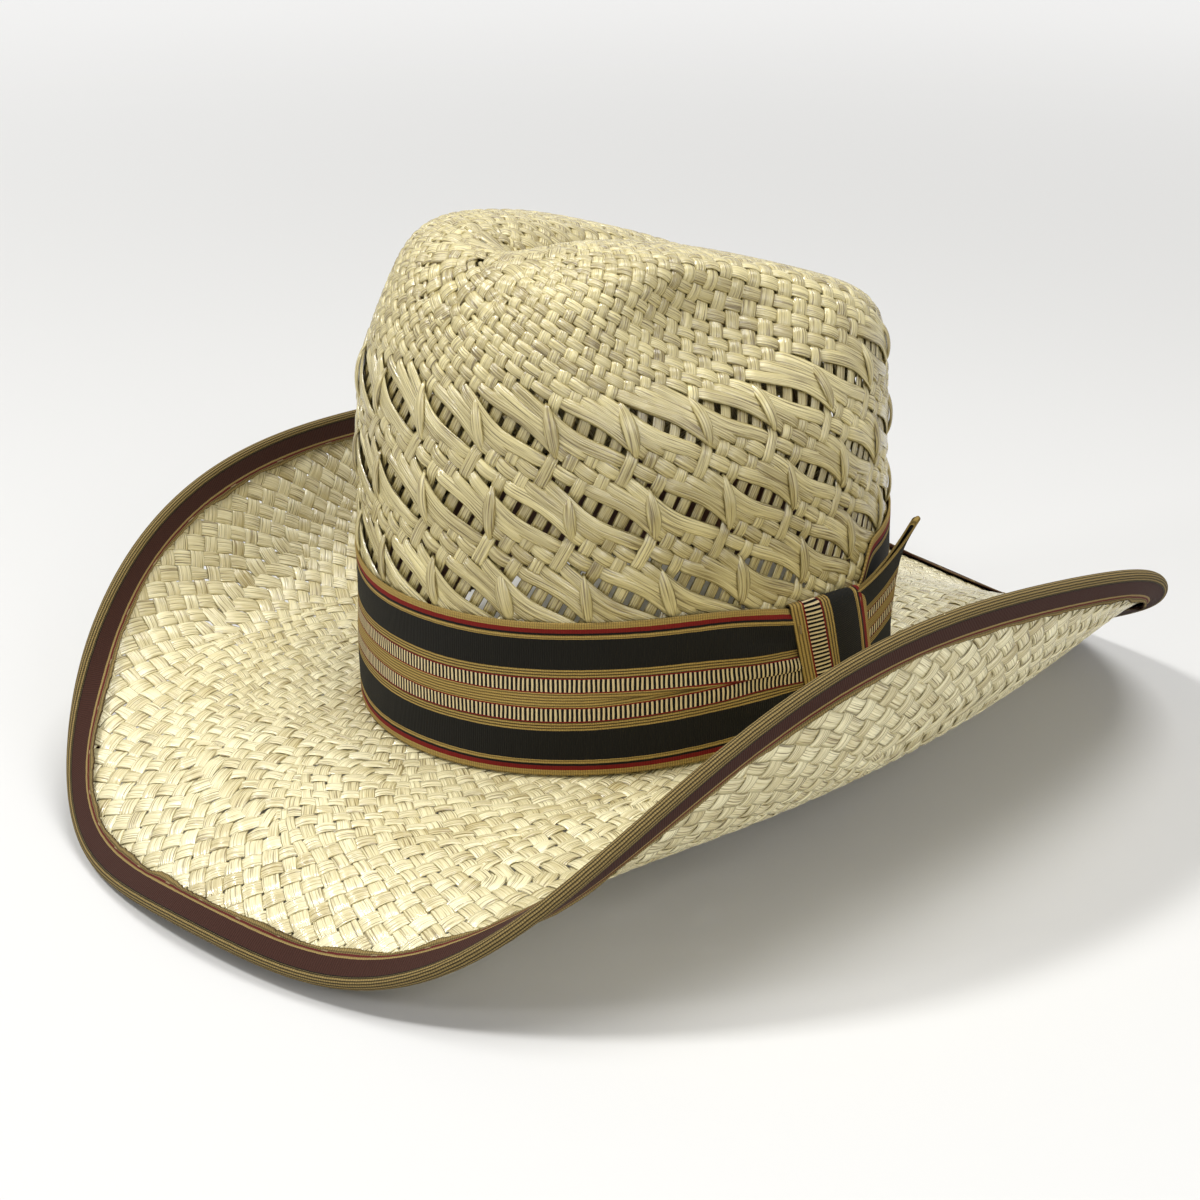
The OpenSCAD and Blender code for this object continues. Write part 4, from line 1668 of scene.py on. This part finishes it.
@dataclass(frozen=True)
class Finish:
    """What every finish shares: a node group that colours a Principled shader and gives its relief."""

    name: str
    relief: float = 0.3
    depth: float = 0.0003
    roughness: float = 0.5

    def group(self) -> bpy.types.NodeTree:
        """The finish's node group. Each kind of finish has its own."""
        raise NotImplementedError

    def inputs(self, kit: NodeKit) -> dict[str, object]:
        """What the group takes. Each kind of finish says its own."""
        raise NotImplementedError

    def shine(self) -> dict[str, float]:
        """Values of the shader's own sockets."""
        return {"Roughness": self.roughness}

    def build(self) -> bpy.types.Material:
        """Makes the material."""
        material = bpy.data.materials.new(self.name)
        material.use_nodes = True
        kit = NodeKit(material.node_tree)
        group = kit.node("Group", node_tree=self.group())
        kit.fill(group, self.inputs(kit))
        relief = {"Strength": self.relief, "Distance": self.depth, "Height": group.outputs["Height"]}
        shader = kit.fill(kit.tree.nodes["Principled BSDF"], self.shine())
        kit.fill(shader, {
            "Normal": kit.node("Bump", relief).outputs["Normal"],
            "Base Color": group.outputs["Color"]})
        if "Roughness" in group.outputs:
            kit.fill(shader, {"Roughness": group.outputs["Roughness"]})
        return material


def shared_group(name: str) -> bpy.types.NodeTree | None:
    """A node group that has been made already, if it has."""
    return bpy.data.node_groups.get(name)


@dataclass(frozen=True)
class StrawFinish(Finish):
    """Dried palm straw: pale fibres with a soft gloss. Numbers are in strands' millimetres or shares."""

    relief: float = 1.0
    depth: float = 0.00042
    pale: Colour = (0.97, 0.895, 0.57)
    deep: Colour = (0.43, 0.33, 0.11)
    line: Colour = (0.12, 0.08, 0.03)
    fine_along: float = 0.06
    fine_across: float = 2.2
    broad_along: float = 0.03
    broad_across: float = 0.7
    contrast: float = 3.2
    strand_contrast: float = 0.62
    line_from: float = 0.46
    line_full: float = 0.31
    line_depth: float = 0.8
    fine_share: float = 0.55
    broad_share: float = 0.6
    broad_height: float = 0.8
    gloss_change: float = -0.16
    gloss_base: float = 0.27

    def group(self) -> bpy.types.NodeTree:
        """Straw's fibres: fine lines along each strand, with lighter and darker strands."""
        if shared_group("straw_fibres"):
            return shared_group("straw_fibres")
        g = GroupKit("straw_fibres")
        along, across, number = g.split(g.takes("Fibre", "Vector"))
        tone = g.takes("Tone", "Float", 0.5)
        pale, deep, line = (g.takes(name, "Color") for name in ("Pale", "Deep", "Line"))
        fine = g.noise(
            g.vector(g.times(along, self.fine_along), g.times(across, self.fine_across), number), 3.0)
        broad = g.noise(
            g.vector(g.times(along, self.broad_along), g.times(across, self.broad_across), number), 1.0)
        streak = g.scaled(g.maths("SUBTRACT", fine, 0.5), self.contrast, 0.5)
        shade = g.scaled(streak, self.fine_share, g.times(broad, self.broad_share))
        terms = {
            0: g.maths("SUBTRACT", 0.5, tone), 1: self.strand_contrast, 2: g.maths("SUBTRACT", 1.0, shade)}
        share = g.node("Math", terms, operation="MULTIPLY_ADD", use_clamp=True).outputs[0]
        cut = g.ranged(fine, from_min=self.line_from, from_max=self.line_full)
        g.gives("Color", "Color", g.blend(g.times(cut, self.line_depth), g.blend(share, pale, deep), line))
        g.gives("Height", "Float", g.maths("ADD", fine, g.times(broad, self.broad_height)))
        g.gives("Roughness", "Float", g.scaled(shade, self.gloss_change, self.gloss_base))
        return g.tree

    def inputs(self, kit: NodeKit) -> dict[str, object]:
        """Places along the strands, their tones and the colours.

        Args:
            kit: the material being built.

        Returns:
            What each of the group's inputs takes.
        """
        fibre = kit.node("Attribute", attribute_name="fibre").outputs["Vector"]
        tone = kit.node("Attribute", attribute_name="tone").outputs["Fac"]
        return {"Fibre": fibre, "Tone": tone, "Pale": self.pale, "Deep": self.deep, "Line": self.line}

    def shine(self) -> dict[str, float]:
        """Full gloss: the group sets the roughness."""
        return {"Specular IOR Level": 1.0}


@dataclass(frozen=True)
class Stripe:
    """One stripe of a ribbon: where it ends from the ribbon's middle, and how strong its relief is."""

    end: float
    colour: Colour
    ribs: float = 0.5
    cords: float = 0.0
    bars: float = 0.0


def srgb(red: int, green: int, blue: int) -> Colour:
    """A colour from display values of 0 to 255."""
    return tuple(
        (v / 255 / 12.92) if v <= 10 else ((v / 255 + 0.055) / 1.055) ** 2.4
        for v in (red, green, blue))


GOLD = srgb(178, 150, 84)
DEEP_RED = srgb(118, 22, 20)
DULL_RED = srgb(92, 32, 30)
CHARCOAL = srgb(18, 18, 16)
INK = srgb(8, 8, 7)
TAN = srgb(152, 130, 80)
BROWN = srgb(62, 34, 26)
CREAM = srgb(225, 205, 160)
DUST = srgb(150, 140, 120)

BAND_STRIPES = (
    Stripe(2.4, GOLD, ribs=0.3, cords=0.8),
    Stripe(2.8, DEEP_RED),
    Stripe(7.1, INK, bars=1.0),
    Stripe(7.5, DEEP_RED),
    Stripe(10.4, GOLD, cords=1.0),
    Stripe(20.6, CHARCOAL, ribs=0.8),
    Stripe(22.0, GOLD, cords=0.6),
    Stripe(22.7, INK),
    Stripe(24.2, DEEP_RED, ribs=0.4),
    Stripe(27.0, GOLD, ribs=0.9, cords=0.2),
)
EDGE_STRIPES = (
    Stripe(4.0, TAN, ribs=0.9, cords=1.0),
    Stripe(4.3, INK),
    Stripe(9.6, BROWN, ribs=0.9),
    Stripe(10.3, TAN, cords=0.3),
    Stripe(10.9, DULL_RED),
    Stripe(14.5, TAN, ribs=1.0, cords=0.6),
)


@dataclass(frozen=True)
class RibbonFinish(Finish):
    """Woven ribbon: stripes that mirror about its middle, with ribs, cords and bars. Millimetres."""

    relief: float = 0.9
    depth: float = 0.00035
    roughness: float = 0.8
    stripes: tuple[Stripe, ...] = BAND_STRIPES
    rib: float = 0.755
    cord: float = 0.96
    lining: Colour = CHARCOAL
    specular: float = 0.12
    sheen: float = 0.02
    both_faces: float = 20.6
    drift_along: float = 0.25
    drift: float = 0.25
    wobble_along: float = 0.4
    wobble_across: float = 0.15
    wobble: float = 0.5
    ply_across: float = 4.0
    ply_along: float = 9.0
    rib_height: float = 0.45
    bar_height: float = 0.7
    bar_gap: float = 0.12
    ply_height: float = 0.12
    groove_from: float = 0.9
    groove_full: float = 0.26
    # Painted shade in the grooves between cords and the valleys between ribs.
    groove_painted_shade: float = 0.9
    valley_painted_shade: float = 0.42
    fuzz_scale: float = 1.7
    fuzz_share: float = 0.03

    def ramp(self, g: GroupKit, reach: Socket, values: list[Colour]) -> Socket:
        """A stepped ramp over the stripes.

        Args:
            g: the group being built.
            reach: distance from the ribbon's middle, as a share of its half width.
            values: a colour, or three numbers, for each stripe.

        Returns:
            The ramp's colour.
        """
        node = g.node("ValToRGB", {0: reach})
        node.color_ramp.interpolation = "CONSTANT"
        stops = node.color_ramp.elements
        stops.remove(stops[1])
        start = 0.0
        for k, (stripe, value) in enumerate(zip(self.stripes, values)):
            stop = stops[0] if k == 0 else stops.new(start / self.stripes[-1].end)
            stop.color = (*value, 1)
            start = stripe.end
        return node.outputs[0]

    def group(self) -> bpy.types.NodeTree:
        """The stripes, their relief, and painted shade in the relief's grooves and valleys."""
        g = GroupKit(f"{self.name}_weave")
        along, across, face = g.split(g.takes("Place", "Vector"))
        wander = g.noise(g.vector(g.times(along, self.drift_along), 0.0, 3.0), 1.0)
        drifted = g.scaled(g.maths("SUBTRACT", wander, 0.5), self.drift, across)
        distance = g.maths("ABSOLUTE", drifted)
        share = g.maths("DIVIDE", distance, float(self.stripes[-1].end))
        colour = self.ramp(g, share, [stripe.colour for stripe in self.stripes])
        reliefs = [(stripe.ribs, stripe.cords, stripe.bars) for stripe in self.stripes]
        ribs, cords, bars = g.split(self.ramp(g, share, reliefs))

        wobble_place = g.vector(g.times(along, self.wobble_along), g.times(across, self.wobble_across), 9.0)
        shift = g.scaled(g.noise(wobble_place, 2.0), self.wobble, along)
        rib = g.maths("SINE", g.times(shift, TURN / self.rib))
        bar = g.maths("SINE", g.times(shift, math.pi / self.rib))
        cord = g.maths("ABSOLUTE", g.maths("SINE", g.times(drifted, math.pi / self.cord)))
        ply = g.maths("SINE", g.scaled(drifted, self.ply_across, g.times(shift, self.ply_along)))
        rib_share = g.times(g.scaled(rib, 0.5, 0.5), ribs)
        height = g.maths("ADD", g.times(rib_share, self.rib_height), g.times(cord, cords))
        lit = g.times(g.maths("GREATER_THAN", bar, self.bar_gap), bars)
        height = g.scaled(lit, self.bar_height, height)

        cream = g.blend(lit, colour, CREAM)
        # Painted shade: the grooves between cords and the valleys between ribs are darkened towards ink.
        groove = g.ranged(cord, from_min=self.groove_from, from_max=self.groove_full)
        dark = g.blend(g.times(g.times(groove, cords), self.groove_painted_shade), cream, INK)
        valley = g.times(g.scaled(rib, -0.5, 0.5), g.times(ribs, self.valley_painted_shade))
        ribbed = g.blend(valley, dark, INK)
        fuzz_place = g.vector(g.times(along, self.fuzz_scale), g.times(across, self.fuzz_scale), 2.0)
        worn = g.blend(g.times(g.noise(fuzz_place, 3.0), self.fuzz_share), ribbed, DUST)
        plain = g.maths("LESS_THAN", distance, self.both_faces)
        g.gives("Color", "Color", g.blend(g.times(face, plain), worn, self.lining))
        g.gives("Height", "Float", g.scaled(g.times(ply, cords), self.ply_height, height))
        return g.tree

    def inputs(self, kit: NodeKit) -> dict[str, object]:
        """Places on the ribbon."""
        return {"Place": kit.node("Attribute", attribute_name="fibre").outputs["Vector"]}

    def shine(self) -> dict[str, float]:
        """Dull cloth with a trace of sheen."""
        return {"Roughness": self.roughness, "Specular IOR Level": self.specular, "Sheen Weight": self.sheen}


@dataclass(frozen=True)
class PlainFinish(Finish):
    """A finish with a fine grain in colour and relief, placed by position."""

    colour: Colour = GOLD
    second: Colour = TAN
    metallic: float = 0.0
    grain: float = 900.0

    def group(self) -> bpy.types.NodeTree:
        """Fine grain by position: two colours and a height."""
        if shared_group("grain"):
            return shared_group("grain")
        g = GroupKit("grain")
        place = g.takes("Place", "Vector")
        first, second = (g.takes(name, "Color") for name in ("First", "Second"))
        grain = g.noise(place, 4.0, g.takes("Scale", "Float", 900.0))
        g.gives("Color", "Color", g.blend(grain, first, second))
        g.gives("Height", "Float", grain)
        return g.tree

    def inputs(self, kit: NodeKit) -> dict[str, object]:
        """Positions, the two colours and the grain's scale."""
        place = kit.node("TexCoord").outputs["Object"]
        return {"First": self.colour, "Second": self.second, "Scale": self.grain, "Place": place}

    def shine(self) -> dict[str, float]:
        """Even gloss, metal or not."""
        return {"Roughness": self.roughness, "Metallic": self.metallic}


class Trim(Enum):
    """Finishes of the leather, tape, thread and metal."""

    THREAD = PlainFinish(
        "thread", roughness=0.6, colour=srgb(150, 130, 88), second=srgb(120, 100, 66), grain=2500.0)
    LEATHER = PlainFinish(
        "sweat_leather", 0.5, roughness=0.48, colour=srgb(112, 70, 42), second=srgb(84, 50, 30), grain=700.0)
    REED = PlainFinish(
        "reed_tape", 0.5, roughness=0.7, colour=srgb(92, 68, 46), second=srgb(64, 46, 30), grain=1500.0)
    WIRE = PlainFinish(
        "spring_wire", 0.05, roughness=0.3,
        colour=srgb(180, 180, 182), second=srgb(150, 150, 152), metallic=1.0)
    BRASS = PlainFinish(
        "sleeve_brass", 0.05, roughness=0.35,
        colour=srgb(190, 160, 96), second=srgb(160, 130, 70), metallic=1.0)


CARRIED = {
    "bow_tacks": Trim.THREAD,
    "sweatband": Trim.LEATHER,
    "sweatband_reed": Trim.REED,
    "sweatband_stitches": Trim.THREAD,
    "sweatband_seam_bow": Trim.REED,
}


# ---------------------------------------------------------------- studio


@dataclass(frozen=True)
class Lamp:
    """A square soft lamp that faces the hat. Metres and watts."""

    name: str
    place: tuple[float, float, float]
    size: float
    power: float

    def hang(self) -> None:
        """Adds the lamp."""
        data = bpy.data.lights.new(self.name, "AREA")
        data.size, data.energy = self.size, self.power
        made = bpy.data.objects.new(self.name, data)
        made.location = self.place
        made.rotation_euler = (Vector((0, 0, 0.05)) - Vector(self.place)).to_track_quat("-Z", "Y").to_euler()
        bpy.context.scene.collection.objects.link(made)


@dataclass(frozen=True)
class Studio:
    """Floor, soft lights and the camera."""

    azimuth: float = 42.9
    elevation: float = 21.4
    roll: float = -1.0
    distance: float = 800.0
    target_height: float = 60.0
    focal: float = 70.05
    shift_x: float = -0.0258
    shift_y: float = -0.0933
    ambient: float = 0.22
    far_glow: float = 0.5
    glow_from: float = 0.45
    glow_full: float = 2.2
    floor_size: float = 12.0
    floor_colour: Colour = (0.70, 0.695, 0.68)
    floor_roughness: float = 0.85
    lamps: tuple[Lamp, ...] = (
        Lamp("key_lamp", (-0.75, -0.85, 1.8), 0.3, 24),
        Lamp("front_lamp", (-0.6, -1.5, 0.75), 0.25, 5),
        Lamp("side_lamp", (1.6, -0.5, 0.9), 1.0, 12),
        Lamp("top_lamp", (0.25, 0.2, 1.9), 0.9, 20),
    )

    def camera(self) -> None:
        """Places the camera, tilted with the hat's seat."""
        a, e, r = (math.radians(v) for v in (self.azimuth, self.elevation, self.roll))
        back = np.array([math.sin(a) * math.cos(e), -math.cos(a) * math.cos(e), math.sin(e)])
        right = unit(np.cross(-back, np.array([0, 0, 1.0])))
        up = np.cross(right, -back)
        turned_right = right * math.cos(r) + up * math.sin(r)
        turned_up = up * math.cos(r) - right * math.sin(r)
        matrix = np.eye(4)
        matrix[:3, :3] = np.stack([placed(v) / MM for v in (turned_right, turned_up, back)], axis=1)
        matrix[:3, 3] = placed(np.array([0, 0, self.target_height]) + back * self.distance)
        data = bpy.data.cameras.new("camera")
        data.sensor_width, data.lens = 36.0, self.focal
        data.shift_x, data.shift_y = self.shift_x, self.shift_y
        data.clip_start, data.clip_end = 0.01, 20.0
        made = bpy.data.objects.new("camera", data)
        made.matrix_world = Matrix(matrix.tolist())
        bpy.context.scene.collection.objects.link(made)
        bpy.context.scene.camera = made

    def lights(self) -> None:
        """Adds the lamps, and the world's even light, which is white where it is seen."""
        for lamp in self.lamps:
            lamp.hang()
        world = bpy.data.worlds.new("studio")
        world.use_nodes = True
        kit = NodeKit(world.node_tree)
        rays = kit.node("LightPath").outputs
        seen = rays["Is Camera Ray"]
        for ray in ("Is Glossy Ray", "Is Transmission Ray"):
            seen = kit.maths("MAXIMUM", seen, rays[ray])
        strength = kit.ranged(seen, to_min=self.ambient)
        kit.fill(kit.tree.nodes["Background"], {"Color": (1.0, 1.0, 1.0), "Strength": strength})
        bpy.context.scene.world = world

    def floor(self, height: float) -> None:
        """Lays the pale floor. Far from the hat it glows to white, for the camera alone.

        Args:
            height: where it lies, in metres.
        """
        bpy.ops.mesh.primitive_plane_add(size=self.floor_size, location=(0, 0, height))
        made = bpy.context.object
        made.name = "floor"
        material = bpy.data.materials.new("floor")
        material.use_nodes = True
        kit = NodeKit(material.node_tree)
        away = kit.node("VectorMath", {0: kit.node("TexCoord").outputs["Object"]}, operation="LENGTH")
        reach = {"Value": away.outputs["Value"], "From Min": self.glow_from, "From Max": self.glow_full,
                 "To Max": self.far_glow}
        far = kit.node("MapRange", reach, interpolation_type="SMOOTHSTEP").outputs[0]
        glow = kit.times(far, kit.node("LightPath").outputs["Is Camera Ray"])
        kit.fill(kit.tree.nodes["Principled BSDF"], {
            "Base Color": self.floor_colour,
            "Roughness": self.floor_roughness,
            "Emission Color": (1.0, 1.0, 1.0),
            "Emission Strength": glow,
        })
        made.data.materials.append(material)


def dress(piece: Piece, material: bpy.types.Material, slot: str, *nodes: str) -> None:
    """Gives a new piece its material and its body, and hides the CAD nodes that it stands for.

    Args:
        piece: the piece.
        material: its material.
        slot: not used.
        nodes: the CAD nodes that it stands for.
    """
    piece.data.materials.append(material)
    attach(piece, "root")
    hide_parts(*nodes)
    log.info("made %s, %d faces", piece.name, len(piece.data.polygons))


def carry_over(trims: dict[Trim, bpy.types.Material]) -> None:
    """Gives the CAD parts that stay in view their finishes.

    Args:
        trims: the plain finishes' materials.
    """
    for node, trim in CARRIED.items():
        piece = bpy.data.objects[node]
        piece.data.materials.clear()
        piece.data.materials.append(trims[trim])
        log.info("finished %s", node)


def main() -> None:
    """Builds the hat and the studio, and logs the ribbons' sizes."""
    logging.basicConfig(level=logging.INFO, format="%(message)s")
    trims = {trim: trim.value.build() for trim in Trim}
    straw = StrawFinish("straw").build()
    # Painted shade: the crown's straw is a darker, more golden copy of the brim's straw, since the crown's
    # wall gets less light than the brim.
    shaded_crown_straw = StrawFinish("crown_straw", pale=(0.77, 0.67, 0.33), deep=(0.22, 0.16, 0.04)).build()
    striped = RibbonFinish("striped_ribbon").build()
    edging = RibbonFinish("binding_ribbon", stripes=EDGE_STRIPES, rib=0.8, cord=0.94, lining=BROWN).build()
    for piece in CrownWeave().build():
        dress(piece, shaded_crown_straw, "straw", "crown_wall", "crown_top")
    for piece in BrimWeave().build():
        dress(piece, straw, "straw", "brim")
    bow, hem = BowForm(), HemForm()
    for ribbon, material, slot, node in (
        (BandForm().build(), striped, "striped_ribbon", "band_ribbon"),
        (bow.knot(), striped, "striped_ribbon", "bow_knot"),
        (bow.loop(), striped, "striped_ribbon", "bow_loop"),
        (hem.binding(), edging, "binding_ribbon", "brim_binding"),
    ):
        dress(ribbon.piece, material, slot, node)
        ribbon.declare()
    for piece, trim, node in (
        (hem.stitching(), Trim.THREAD, "binding_stitches"),
        (hem.edge_wire(), Trim.WIRE, "brim_wire"),
        (hem.edge_sleeve(), Trim.BRASS, "wire_sleeve"),
    ):
        dress(piece, trims[trim], trim.value.name, node)
    carry_over(trims)
    studio = Studio()
    studio.camera()
    studio.lights()
    studio.floor(cad_box[0][2])
    bpy.context.scene.view_settings.view_transform = "Standard"


if __name__ == "__main__":
    main()
